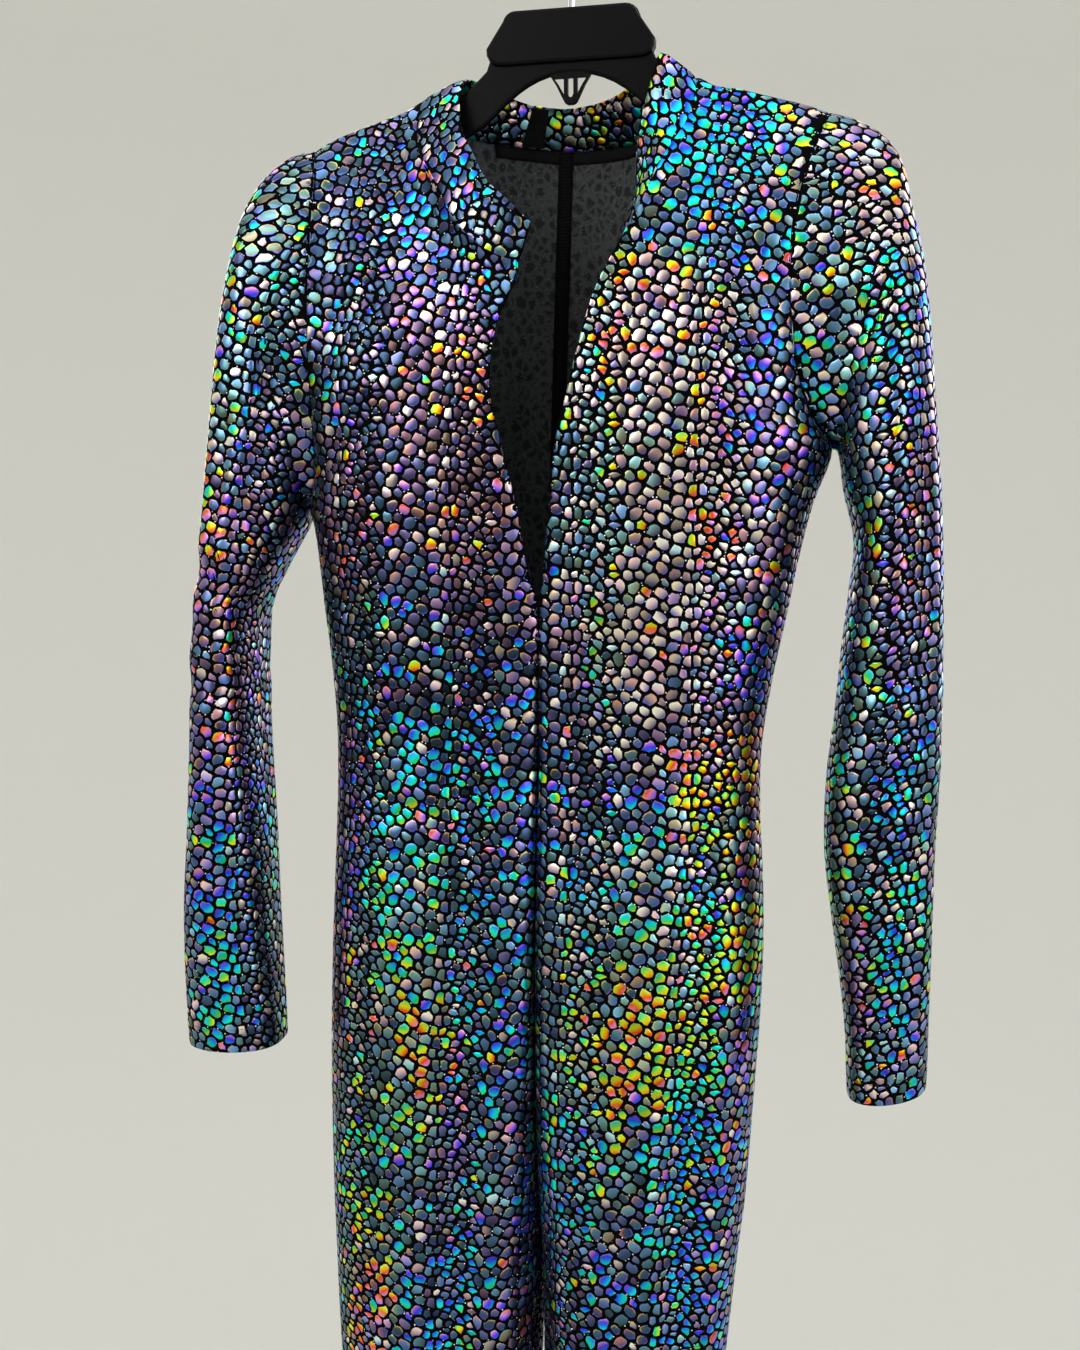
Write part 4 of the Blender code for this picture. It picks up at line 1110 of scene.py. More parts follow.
def run_along(grid, axis):
    """The length run from the first line to each other line, taken over the whole grid."""
    steps = np.linalg.norm(np.diff(grid, axis=axis), axis=2).mean(axis=1 - axis)
    return np.concatenate([[0.0], np.cumsum(steps)])


def collar_cloth(inside):
    """The collar's outer or inner face; the two meet in the fold at its top edge."""
    grid = as_array(collar_grid())
    grid = swapped(resample(swapped(resample(grid, COLLAR_ROW_STEP)), COLLAR_COLUMN_STEP))
    normals = outward(normals_of(grid, False), grid - COLLAR_MIDDLE)
    share = np.linspace(0, 1, len(grid))[:, None, None]
    puff = COLLAR_PUFF * np.sin(np.pi * share) ** 0.6
    if inside:
        grid = grid - normals * (COLLAR_WALL + puff - 0.2)
        normals = -normals
    else:
        grid = grid + normals * puff
    top_fold = np.clip((share - COLLAR_FOLD_START) / (1 - COLLAR_FOLD_START), 0, 1) ** 2
    grid = grid - normals * top_fold * (COLLAR_WALL / 2)
    grid[0] -= normals[0] * 0.5
    u = run_along(grid, 1)[None, :].repeat(len(grid), axis=0)
    v = -run_along(grid, 0)[:, None].repeat(grid.shape[1], axis=1)
    return Cloth(grid, np.stack([u, v + INNER_COLLAR_APART * inside], axis=-1), normals, roll=False)


def make_object(name, mesh):
    item = bpy.data.objects.new(name, mesh)
    bpy.context.scene.collection.objects.link(item)
    return item


def new_mesh(name, points, faces, *shades):
    """A mesh from points in millimetres, with its materials."""
    mesh = bpy.data.meshes.new(name)
    mesh.from_pydata((points.reshape(-1, 3) * MM).tolist(), [], faces.tolist())
    for shade in shades:
        mesh.materials.append(shade)
    return mesh


def face_out(mesh):
    work = bmesh.new()
    work.from_mesh(mesh)
    bmesh.ops.recalc_face_normals(work, faces=work.faces)
    work.to_mesh(mesh)
    work.free()


def smooth_object(name, points, faces, shade):
    """A smooth closed object in one material."""
    mesh = new_mesh(name, points, faces, shade)
    face_out(mesh)
    mesh.shade_smooth()
    return make_object(name, mesh)


def grid_quads(rows, columns, closed):
    """The quads of a grid of points; a closed grid joins its last column to its first."""
    r, c = np.meshgrid(np.arange(rows - 1), np.arange(columns if closed else columns - 1), indexing="ij")
    here, beside = r * columns + c, r * columns + (c + 1) % columns
    return np.stack([here, here + columns, beside + columns, beside], axis=-1).reshape(-1, 4)


def edge_loop(rows, columns, closed):
    """The border of a grid as pairs of neighbouring points."""
    top = [(c, (c + 1) % columns) for c in range(columns if closed else columns - 1)]
    low = [(a + (rows - 1) * columns, b + (rows - 1) * columns) for a, b in top]
    pairs = top + low
    if not closed:
        pairs += [(r * columns, (r + 1) * columns) for r in range(rows - 1)]
        pairs += [(r * columns + columns - 1, (r + 1) * columns + columns - 1) for r in range(rows - 1)]
    return np.array(pairs)


def wall_faces(rows, columns, closed):
    """The faces of a closed wall between two grids: its outer side, inner side and rim."""
    count = rows * columns
    quads = grid_quads(rows, columns, closed)
    start, end = edge_loop(rows, columns, closed).T
    return quads, quads[:, ::-1] + count, np.stack([start, end, end + count, start + count], axis=-1)


def flat_on_corners(cloth):
    """The flat coordinates of each quad's corners, which break at a sleeve's seam."""
    rows, columns = cloth.grid.shape[:2]
    flat = cloth.flat.reshape(-1, 2)[grid_quads(rows, cloth.flat.shape[1], False)]
    if cloth.closed:
        shift = (np.arange(columns) - columns // 2) % columns
        flat = flat.reshape(rows - 1, columns, 4, 2)[:, shift]
    return flat.reshape(-1, 2)


def shell(name, cloth, thickness, outer, inner, inside=None):
    """A thin closed wall on the cloth's grid, with its own material on the inner face."""
    rows, columns = cloth.grid.shape[:2]
    under = inside.grid if inside else cloth.grid - cloth.normals * thickness
    front, back, rim = wall_faces(rows, columns, cloth.closed)
    points = np.concatenate([cloth.grid, under])
    mesh = new_mesh(name, points, np.concatenate([front, back, rim]), outer, inner)
    corners = flat_on_corners(cloth)
    turned = corners.reshape(-1, 4, 2)[:, ::-1].reshape(-1, 2)
    every = np.concatenate([corners, turned, np.zeros((len(rim) * 4, 2))]) * MM
    mesh.uv_layers.new(name="Flat").data.foreach_set("uv", every.astype(np.float32).ravel())
    slots = np.repeat([0, 1, 0], [len(front), len(back), len(rim)]).astype(np.int32)
    mesh.polygons.foreach_set("material_index", slots)
    face_out(mesh)
    mesh.shade_smooth()
    mesh.set_sharp_from_angle(angle=math.radians(60))
    return make_object(name, mesh)


def oval_reach(scales, ways):
    """How far each scale's oval reaches from its centre in a direction, with v downwards."""
    ovals = [(scale.wide / 2, scale.tall / 2, -math.radians(scale.turn)) for scale in scales]
    wide, tall, turn = np.array(ovals).T
    return 1 / np.hypot(np.cos(ways - turn) / wide, np.sin(ways - turn) / tall)


def outline_area(points):
    after = np.roll(points, -1, axis=1)
    return np.abs((points[..., 0] * after[..., 1] - points[..., 1] * after[..., 0]).sum(axis=1)) / 2


def scale_outlines():
    """Each scale of the repeat as an angular cell between its neighbours, round its own centre."""
    steps = [(i * REPEAT_WIDE, j * REPEAT_TALL) for i in (-1, 0, 1) for j in (-1, 0, 1)]
    crowd = [(scale, scale.x + right, scale.y + down) for scale in REPEAT for right, down in steps]
    outlines = []
    for scale in REPEAT:
        gaps = [(other, x - scale.x, y - scale.y) for other, x, y in crowd]
        near = [item for item in gaps if 0.1 < math.hypot(item[1], item[2]) < NEIGHBOUR_REACH]
        ways = np.array([math.atan2(v, u) for _, u, v in near])
        mine = oval_reach([scale], ways)
        theirs = oval_reach([other for other, _, _ in near], ways)
        edge = np.array([math.hypot(u, v) for _, u, v in near]) * mine / (mine + theirs) - GAP / 2
        choices = []
        for phase in np.arange(6) / 6:
            angles = 2 * math.pi * (np.arange(OUTLINE_POINTS) + phase) / OUTLINE_POINTS
            facing = np.maximum(np.cos(angles[:, None] - ways), 0.02)
            pull = ((facing / edge) ** CORNER).sum(axis=1) + (ROOM * oval_reach([scale], angles)) ** -CORNER
            reach = pull ** (-1 / CORNER)
            choices.append(reach[:, None] * np.stack([np.cos(angles), np.sin(angles)], axis=-1))
        outlines.append(max(choices, key=lambda points: outline_area(points[None])[0]))
    return np.array(outlines)


def repeat_over(low, high, draw):
    """All scales of the print over a flat rectangle: centres, sizes, turns and chart rows."""
    first = np.floor(low / (REPEAT_WIDE, REPEAT_TALL)).astype(int) - 1
    last = np.ceil(high / (REPEAT_WIDE, REPEAT_TALL)).astype(int) + 1
    counts = (*(last - first), len(REPEAT))
    i, j, k = [item.ravel() for item in np.meshgrid(*map(np.arange, counts), indexing="ij")]
    i, j = i + first[0], j + first[1]
    chart = np.array([(scale.x, scale.y) for scale in REPEAT])
    centre = chart[k] + np.stack([i * REPEAT_WIDE, j * REPEAT_TALL], axis=-1)
    # Slow waves keep the rows from running quite straight
    u, v = centre.T
    drift = np.stack([
        1.6 * np.sin(v / 83 + 0.7) + 0.9 * np.sin(v / 31 + u / 50),
        1.5 * np.sin(u / 47 + 1.9) + 0.8 * np.sin(u / 21 + v / 90),
    ], axis=-1)
    centre = centre + drift + draw.normal(0, 0.12, centre.shape)
    size = draw.uniform(0.94, 1.04, len(centre))
    turn = draw.normal(0, 0.04, len(centre))
    return centre, size, turn, k


def from_circle(hue, table):
    """Colours read from a table round the circle of hues."""
    marks, channels = table[:, 0], table[:, 1:].T
    return np.stack([np.interp(np.mod(hue, 1), marks, channel) for channel in channels], axis=-1)


def painted_foil_light(place, normal):
    """The light painted into each scale where it lies: hue, share of lit scales, level and paleness."""
    x, y, z = place.T
    turn = np.arctan2(normal[:, 0], -normal[:, 1])
    hue = 0.50 + 0.22 * np.sin(z / 92 + 1.2 * np.sin(x / 57))
    hue = hue + 0.16 * np.sin(x / 29 + z / 260 + y / 40) + 0.2 * np.sin(turn * 2)
    # Painted streaks and bands of light, which follow the way the surface faces
    streak = 0.5 + 0.5 * np.sin(turn * 7 + x / 17 + 0.8 * np.sin(z / 120))
    band = 0.5 + 0.5 * np.sin(z / 61 + 1.6 * np.sin(x / 44 + y / 60) + turn)
    # The sleeves are painted brighter
    on_sleeve = np.clip((np.abs(x) - SLEEVES_FROM) / 40, 0, 1)
    lit = BASE_LIT * (0.25 + 1.1 * streak * (0.4 + band))
    level = BASE_LEVEL * (0.75 + 0.5 * streak) * (1 + SLEEVES_PAINTED_BRIGHTER * on_sleeve)
    pale = 0.10 + 0.15 * band * streak
    # Each glow paints its hue, lit share, brightness and paleness, and is painted weaker where the surface
    # faces back
    for glow in PAINTED_GLOWS:
        near = np.exp(-((x - glow.x) / glow.reach_x) ** 2 - ((z - glow.z) / glow.reach_z) ** 2)
        near = near * np.where(normal[:, 1] < 0, 1.0, PAINTED_GLOW_BEHIND)
        away = (glow.hue - hue + 0.5) % 1 - 0.5
        hue = hue + away * np.clip(1.2 * near, 0, 0.85)
        lit = lit + 0.75 * near * glow.vivid
        level = level * (1 + 3.0 * near * glow.bright)
        pale = pale + near * np.clip(2.2 * glow.bright - 0.7 * glow.vivid, 0, 1)
    return hue, lit, level, np.clip(pale, 0, 0.9)


def foil_colours(place, normal, offset, draw):
    """The painted light of each point of each scale: mostly grey where painted as unlit, cream or rose where
    painted pale, a spectrum where painted as lit.
    """
    hue, lit, level, pale = [item[:, None] for item in painted_foil_light(place, normal)]
    count = len(offset)
    rim = np.repeat([0.0, 0.0, 1.0], RING_COUNTS)
    # Each scale's slope runs from its upper left to its lower right, the way the painted light falls across
    # it
    tilt = draw.normal(0.45, 0.5, (count, 1))
    slope = np.clip((offset[..., 1] * np.cos(tilt) + offset[..., 0] * np.sin(tilt)) / 3.4, -1, 1)
    lower = np.clip(0.45 + 0.75 * slope, 0, 1)[..., None]
    chance = draw.uniform(0, 1, (5, count, 1))
    spread = np.exp(0.42 * draw.normal(0, 1, (count, 1)))
    away = (hue - 0.60 + 0.5) % 1 - 0.5
    shade = 0.60 + 0.5 * away + 0.11 * draw.normal(0, 1, (count, 1)) - 0.06 * slope

    # The dull scales, with painted shade towards the lower right and a painted highlight along their upper
    # rim
    rim_highlight_and_shade = 1.08 - 0.55 * slope + 0.45 * rim * (slope < 0.1)
    body = from_circle(shade, GREYS) * (level * spread * rim_highlight_and_shade)[..., None]

    # The pale ones are painted as catching the light: cream, rose or mint above, running down to a darker
    # lilac below, which is painted shade
    kind = chance[3][..., None]
    upper = np.where(kind < 0.45, CREAM, np.where(kind < 0.86, ROSE, MINT))
    soft = (upper * (1 - lower) + np.array(LILAC) * 0.42 * lower) * (0.32 + 1.2 * chance[4])[..., None]
    body = np.where((chance[1] < pale)[..., None], soft, body)

    # Some have a painted glint along the rim, warm above and cool below
    glint = np.where(slope < 0, 0.03 + 0.12 * chance[2], 0.62 + 0.12 * chance[2])
    rim_glint_strength = rim * np.clip(1.6 * np.abs(slope) - 0.5, 0, 0.85)
    edge = np.where(chance[0] > 1 - RIM_GLINT_SHARE, rim_glint_strength, 0.0)[..., None]
    rim_glint_colour = from_circle(glint, SPECTRUM) * 0.85 + 0.10
    body = body + (rim_glint_colour * np.clip(3.0 * level, 0.35, 1.0)[..., None] - body) * edge

    # The lit ones are painted in a pure hue of their own, as if catching the light, with a painted highlight
    # along some upper rims
    stray = hue + draw.normal(0, 0.07, (count, 1))
    stray = stray + np.where(chance[2] < 0.3, draw.normal(0, 0.22, (count, 1)), 0.0)
    pure = from_circle(stray - 0.15 * slope, SPECTRUM)
    shine = 0.22 * (rim * (slope < -0.3) * (chance[4] < 0.5))[..., None]
    shining = (pure + shine) * (0.65 + 0.60 * chance[3])[..., None]
    return np.clip(np.where((chance[0] < lit)[..., None], shining, body), 0.002, 1)


def scale_spots(flat, tree, draw):
    """The print over one flat sheet: the centre and outline of every scale that lies on it."""
    centre, size, turn, kind = repeat_over(flat.min(axis=0), flat.max(axis=0), draw)
    kept = []
    for n, (u, v) in enumerate(centre):
        if tree.find_nearest((u, v, 0.0), PRINT_REACH)[0] is not None:
            kept.append(n)
    centre, size, turn, kind = centre[kept], size[kept], turn[kept], kind[kept]
    outline = scale_outlines()[kind] * size[:, None, None]
    outline = outline * (1 + UNEVEN * draw.normal(0, 1, outline.shape[:2]))[..., None]
    c, s = np.cos(turn)[:, None], np.sin(turn)[:, None]
    u, v = outline[..., 0], outline[..., 1]
    outline = np.stack([u * c - v * s, u * s + v * c], axis=-1)
    return np.concatenate([centre[:, None, :], centre[:, None, :] + outline], axis=1)


def cross2(a, b):
    return a[:, 0] * b[:, 1] - a[:, 1] * b[:, 0]


def laid_on(cloth, triangles, tree, spots):
    """The nearest point of the flat sheet to each spot, with its place and normal on the cloth."""
    flat = cloth.flat.reshape(-1, 2)
    found = [tree.find_nearest((u, v, 0.0)) for u, v in spots.reshape(-1, 2)]
    at = np.array([(f[0].x, f[0].y) for f in found])
    tri = triangles[[f[2] for f in found]]
    a, b, d = flat[tri[:, 0]], flat[tri[:, 1]], flat[tri[:, 2]]
    whole = cross2(b - a, d - a)
    whole = np.where(np.abs(whole) < 1e-9, 1e-9, whole)
    to_b, to_d = cross2(at - a, d - a) / whole, cross2(b - a, at - a) / whole
    weights = np.clip(np.stack([1 - to_b - to_d, to_b, to_d], axis=-1), 0, 1)[..., None]
    place = (cloth.open_grid.reshape(-1, 3)[tri] * weights).sum(axis=1)
    facing = (cloth.open_normals.reshape(-1, 3)[tri] * weights).sum(axis=1)
    return at, place, unit(facing)


def with_inner_ring(values):
    """Each scale's centre and outline, with a ring of half as many points between them."""
    values = values.reshape(-1, OUTLINE_POINTS + 1, values.shape[-1])
    centre, outline = values[:, :1], values[:, 1:]
    inner = centre * (1 - INNER_RING) + outline[:, ::2] * INNER_RING
    return np.concatenate([centre, inner, outline], axis=1)


def fan_faces():
    """The triangles of one scale: a fan inside its inner ring, and a band out to its outline."""
    half = OUTLINE_POINTS // 2
    inner = np.arange(half) + 1
    next_inner = inner % half + 1
    outer = half + 2 * inner - 1
    next_outer = half + 2 * next_inner - 1
    triangles = (
        (np.zeros_like(inner), inner, next_inner),
        (inner, outer, outer + 1),
        (inner, outer + 1, next_inner),
        (next_inner, outer + 1, next_outer),
    )
    return np.concatenate([np.stack(corners, axis=-1) for corners in triangles])


def lay_scales(name, cloth, shade, draw):
    """The foil scales of one sheet, joined, each shallow and angular and cut off at the seams."""
    rows, columns = cloth.open_grid.shape[:2]
    quads = grid_quads(rows, columns, False)
    triangles = np.concatenate([quads[:, (0, 1, 2)], quads[:, (0, 2, 3)]])
    flat = cloth.flat.reshape(-1, 2)
    tree = BVHTree.FromPolygons([(u, v, 0.0) for u, v in flat], triangles.tolist())
    at, place, facing = laid_on(cloth, triangles, tree, scale_spots(flat, tree, draw))
    spot = at.reshape(-1, OUTLINE_POINTS + 1, 2)
    large = outline_area(spot[:, 1:] - spot[:, :1]) > LEAST_SCALE
    place, facing, spot = [with_inner_ring(item)[large] for item in (place, facing, at)]
    points = place + facing * np.repeat(LIFT, RING_COUNTS)[:, None]
    colour = foil_colours(place[:, 0], facing[:, 0], spot - spot[:, :1], draw)
    count, per = points.shape[:2]
    fan = fan_faces()
    faces = ((np.arange(count) * per)[:, None, None] + fan[None]).reshape(-1, 3)
    corners = points.reshape(-1, 3)[faces]
    out = np.cross(corners[:, 1] - corners[:, 0], corners[:, 2] - corners[:, 0])
    wrong = (out * np.repeat(facing[:, 0], len(fan), axis=0)).sum(axis=1) < 0
    if wrong.mean() > 0.5:
        faces = faces[:, ::-1]
    mesh = new_mesh(name, points, faces, shade)
    layer = mesh.color_attributes.new(name="Foil", type="FLOAT_COLOR", domain="POINT")
    opaque = np.concatenate([colour, np.ones((count, per, 1))], axis=-1)
    layer.data.foreach_set("color", opaque.astype(np.float32).ravel())
    places = bake_places(spot, faces)
    mesh.uv_layers.new(name="OFBake").data.foreach_set("uv", places.astype(np.float32).ravel())
    mesh.shade_smooth()
    return make_object(name, mesh)


def bake_places(spot, faces):
    """Packs the flat layout into a square, as strips side by side."""
    low = spot.reshape(-1, 2).min(axis=0) - 1
    span = spot.reshape(-1, 2).max(axis=0) + 1 - low
    strips = max(1, round(math.sqrt(span[1] / span[0])))
    tall = span[1] / strips
    strip_number = np.clip(((spot[:, 0, 1] - low[1]) // tall).astype(int), 0, strips - 1)[:, None]
    margin = 12.0
    u = (spot[..., 0] - low[0] + strip_number * (span[0] + 2)) / (strips * (span[0] + 2))
    v = (spot[..., 1] - low[1] - strip_number * tall + margin) / (tall + 2 * margin)
    place = np.stack([u, v], axis=-1).reshape(-1, 2)
    return np.clip(place[faces.ravel()], 0, 1)


def new_material(name, colour, metallic=0.0, roughness=0.5, specular=0.5):
    made = bpy.data.materials.new(name)
    made.use_nodes = True
    shader = made.node_tree.nodes["Principled BSDF"]
    shader.inputs["Base Color"].default_value = (*colour, 1)
    shader.inputs["Metallic"].default_value = metallic
    shader.inputs["Roughness"].default_value = roughness
    shader.inputs["Specular IOR Level"].default_value = specular
    return made, made.node_tree, shader


def flat_texture(tree, kind, scale, squeeze=(1, 1, 1)):
    """A texture laid by the flat coordinates, so that it follows the cloth."""
    place = tree.nodes.new("ShaderNodeUVMap")
    place.uv_map = "Flat"
    fit = tree.nodes.new("ShaderNodeMapping")
    fit.inputs["Scale"].default_value = squeeze
    texture = tree.nodes.new(kind)
    texture.inputs["Scale"].default_value = scale
    tree.links.new(place.outputs["UV"], fit.inputs["Vector"])
    tree.links.new(fit.outputs["Vector"], texture.inputs["Vector"])
    return texture


def object_texture(tree, kind, scale):
    """A texture laid by the piece's own coordinates."""
    place = tree.nodes.new("ShaderNodeTexCoord")
    texture = tree.nodes.new(kind)
    texture.inputs["Scale"].default_value = scale
    tree.links.new(place.outputs["Object"], texture.inputs["Vector"])
    return texture


def ramp(tree, value, stops):
    """Turns a value into a colour by a few stops."""
    node = tree.nodes.new("ShaderNodeValToRGB")
    while len(node.color_ramp.elements) < len(stops):
        node.color_ramp.elements.new(0.5)
    for element, (at, colour) in zip(node.color_ramp.elements, stops):
        element.position = at
        element.color = (*colour, 1)
    tree.links.new(value, node.inputs["Fac"])
    return node.outputs["Color"]


def bump(tree, shader, height, strength, distance):
    node = tree.nodes.new("ShaderNodeBump")
    node.inputs["Strength"].default_value = strength
    node.inputs["Distance"].default_value = distance
    tree.links.new(height, node.inputs["Height"])
    tree.links.new(node.outputs["Normal"], shader.inputs["Normal"])


def foil_shade():
    made, tree, shader = new_material("Foil", (0.5, 0.5, 0.5), metallic=0.92, roughness=0.30)
    colour = tree.nodes.new("ShaderNodeVertexColor")
    colour.layer_name = "Foil"
    tree.links.new(colour.outputs["Color"], shader.inputs["Base Color"])
    return made


def knit_shade():
    """Black stretch knit with loose specks of foil between the scales."""
    made, tree, shader = new_material("Black knit", KNIT_BLACK, roughness=0.9, specular=0.03)
    specks = flat_texture(tree, "ShaderNodeTexVoronoi", 430)
    spot = ramp(tree, specks.outputs["Distance"], [(0.15, (1, 1, 1)), (0.22, (0, 0, 0))])
    chosen = tree.nodes.new("ShaderNodeSeparateColor")
    tree.links.new(specks.outputs["Color"], chosen.inputs["Color"])
    some = ramp(tree, chosen.outputs["Red"], [(0.56, (0, 0, 0)), (0.60, (1, 1, 1))])
    both = tree.nodes.new("ShaderNodeMath")
    both.operation = "MULTIPLY"
    tree.links.new(spot, both.inputs[0])
    tree.links.new(some, both.inputs[1])
    tint = ramp(tree, chosen.outputs["Green"], [
        (0.0, (0.45, 0.75, 1.0)),
        (0.4, (0.95, 0.97, 1.0)),
        (0.7, (1.0, 0.65, 0.45)),
        (1.0, (0.45, 0.95, 0.60)),
    ])
    mix = tree.nodes.new("ShaderNodeMix")
    mix.data_type = "RGBA"
    mix.inputs["A"].default_value = (*KNIT_BLACK, 1)
    tree.links.new(both.outputs["Value"], mix.inputs["Factor"])
    tree.links.new(tint, mix.inputs["B"])
    tree.links.new(mix.outputs["Result"], shader.inputs["Base Color"])
    ribs = flat_texture(tree, "ShaderNodeTexWave", 330)
    bump(tree, shader, ribs.outputs["Fac"], 0.25, 0.0002)
    return made


def lining_shade():
    """The bare inside of the knit, through which the print shows as a faint net."""
    made, tree, shader = new_material("Knit inside", (0.05, 0.05, 0.054), roughness=0.88, specular=0.12)
    cells = flat_texture(tree, "ShaderNodeTexVoronoi", 165, squeeze=(1.0, 0.82, 1))
    cells.feature = "DISTANCE_TO_EDGE"
    blur = flat_texture(tree, "ShaderNodeTexNoise", 330)
    wander = tree.nodes.new("ShaderNodeMix")
    wander.data_type = "RGBA"
    wander.blend_type = "LINEAR_LIGHT"
    wander.inputs["Factor"].default_value = 0.0022
    tree.links.new(cells.inputs["Vector"].links[0].from_socket, wander.inputs["A"])
    tree.links.new(blur.outputs["Color"], wander.inputs["B"])
    tree.links.new(wander.outputs["Result"], cells.inputs["Vector"])
    net = ramp(tree, cells.outputs["Distance"], [
        (0.0, (0.062, 0.064, 0.067)),
        (0.12, (0.046, 0.048, 0.050)),
        (0.26, (0.020, 0.021, 0.023)),
    ])
    specks = flat_texture(tree, "ShaderNodeTexVoronoi", 420)
    spark = ramp(tree, specks.outputs["Distance"], [(0.08, (0.40, 0.42, 0.46)), (0.14, (0, 0, 0))])
    mix = tree.nodes.new("ShaderNodeMix")
    mix.data_type = "RGBA"
    mix.blend_type = "LIGHTEN"
    mix.inputs["Factor"].default_value = 0.5
    tree.links.new(net, mix.inputs["A"])
    tree.links.new(spark, mix.inputs["B"])
    tree.links.new(mix.outputs["Result"], shader.inputs["Base Color"])
    ribs = flat_texture(tree, "ShaderNodeTexWave", 330)
    bump(tree, shader, ribs.outputs["Fac"], 0.2, 0.0002)
    return made


def tape_shade():
    made, tree, shader = new_material("Black tape", (0.003, 0.003, 0.0034), roughness=0.75, specular=0.12)
    weave = object_texture(tree, "ShaderNodeTexWave", 420)
    weave.bands_direction = "DIAGONAL"
    bump(tree, shader, weave.outputs["Fac"], 0.35, 0.0002)
    return made


def plastic_shade():
    made, tree, shader = new_material("Black plastic", PLASTIC_BLACK, roughness=0.34, specular=0.08)
    grain = object_texture(tree, "ShaderNodeTexNoise", 900)
    bump(tree, shader, grain.outputs["Fac"], 0.12, 0.0002)
    return made


def wire_shade():
    made, tree, shader = new_material("Bright wire", (0.72, 0.73, 0.75), metallic=1.0, roughness=0.14)
    marks = object_texture(tree, "ShaderNodeTexNoise", 240)
    wear = tree.nodes.new("ShaderNodeMapRange")
    wear.inputs["To Min"].default_value = 0.09
    wear.inputs["To Max"].default_value = 0.22
    tree.links.new(marks.outputs["Fac"], wear.inputs["Value"])
    tree.links.new(wear.outputs["Result"], shader.inputs["Roughness"])
    return made


def strip(name, path, side, out, wide, thick, shade, columns=5):
    """A ribbon along a path, with rounded top and closed sides."""
    share = np.linspace(-1, 1, columns)[:, None]
    height = thick * (1 - np.abs(share) ** 4)
    side, out = side[:, None], out[:, None]
    top = path[:, None] + side * (share * wide / 2) + out * height
    points = np.concatenate([top, top - out * (height + 0.25)])
    return smooth_object(name, points, np.concatenate(wall_faces(len(path), columns, False)), shade)


def even_path(path, gap, *carried):
    """The path at even gaps, with anything carried along it."""
    run = np.concatenate([[0.0], np.cumsum(np.linalg.norm(np.diff(path, axis=0), axis=1))])
    at = np.arange(gap / 2, run[-1], gap)
    drawn = []
    for item in (path,) + carried:
        drawn.append(np.stack([np.interp(at, run, item[:, k]) for k in range(3)], axis=-1))
    return [drawn[0]] + [unit(item) for item in drawn[1:]]


def stitches(name, path, side, out, gap, long, thick, lean_angle, shade):
    """A row of thread bars along a path, each a small rounded bridge."""
    path, side, out = even_path(path, gap, side, out)
    along = unit(np.gradient(path, axis=0))
    bar = along * math.cos(lean_angle) + side * math.sin(lean_angle)
    wide = np.cross(bar, out)
    rings = []
    for share, swell in ((-1, 0.45), (-0.55, 1.0), (0.55, 1.0), (1, 0.45)):
        middle = path + bar * share * long / 2 + out * (0.55 - 0.45 * share * share) * thick
        rings.append(np.stack([
            middle + wide * thick * 0.5 * swell,
            middle + out * thick * 0.5 * swell,
            middle - wide * thick * 0.5 * swell,
            middle - out * thick * 0.3 * swell,
        ], axis=1))
    points = np.stack(rings, axis=1)
    sides = grid_quads(4, 4, True)[:, ::-1]
    faces = np.concatenate([sides, [(3, 2, 1, 0), (12, 13, 14, 15)]])
    every = (np.arange(len(path)) * 16)[:, None, None] + faces[None]
    return smooth_object(name, points, every.reshape(-1, 4), shade)


def merged(name, meshes, shade):
    """One object from several, as one mesh."""
    work = bmesh.new()
    for item in meshes:
        work.from_mesh(item.data)
    mesh = bpy.data.meshes.new(name)
    work.to_mesh(mesh)
    work.free()
    for item in meshes:
        bpy.data.objects.remove(item)
    mesh.materials.clear()
    mesh.materials.append(shade)
    mesh.shade_smooth()
    return make_object(name, mesh)


def back_seam_strip(name, shade):
    """The overlocked seam allowance down the inside of the centre back, ribbed by its thread."""
    left, right = cloths["back_left"], cloths["back_right"]
    rows = min(len(left.grid), len(right.grid))
    path = (left.grid[:rows, 0] + right.grid[:rows, 0]) / 2
    path = path[path[:, 2] > STRIP_FOOT]
    out = np.tile([0.0, -1.0, 0.0], (len(path), 1))
    path, out = even_path(path + out * (CLOTH_THICK + 0.9), 3.0, out)
    along = unit(np.gradient(path, axis=0))
    side = unit(np.cross(along, out))
    band = strip(name + "_band", path, side, out, STRIP_WIDE, 0.7, shade)
    lean_angle = math.radians(84)
    ribs = stitches(name + "_ribs", path + out * 0.5, side, out, 2.1, STRIP_WIDE, 0.85, lean_angle, shade)
    return merged(name, [band, ribs], shade)


def neck_strip(name, shade):
    """The bound seam under the back of the collar, on the inside."""
    lines = []
    for panel, turn in (("back_left", -1), ("back_right", 1)):
        cloth = cloths[panel]
        near = np.abs(cloth.grid[0, :, 0]) < NECK_STRIP_REACH
        down = unit(cloth.grid[5] - cloth.grid[1])
        out = -cloth.normals[3]
        path = cloth.grid[1] + down * 4.5 + out * (CLOTH_THICK + 0.5)
        lines.append([item[near][1:][::turn] for item in (path, down, out)])
    path, side, out = [np.concatenate([a, b]) for a, b in zip(*lines)]
    path, side, out = even_path(path, 4.0, side, out)
    return strip(name, path, side, out, 9.0, 0.9, shade)


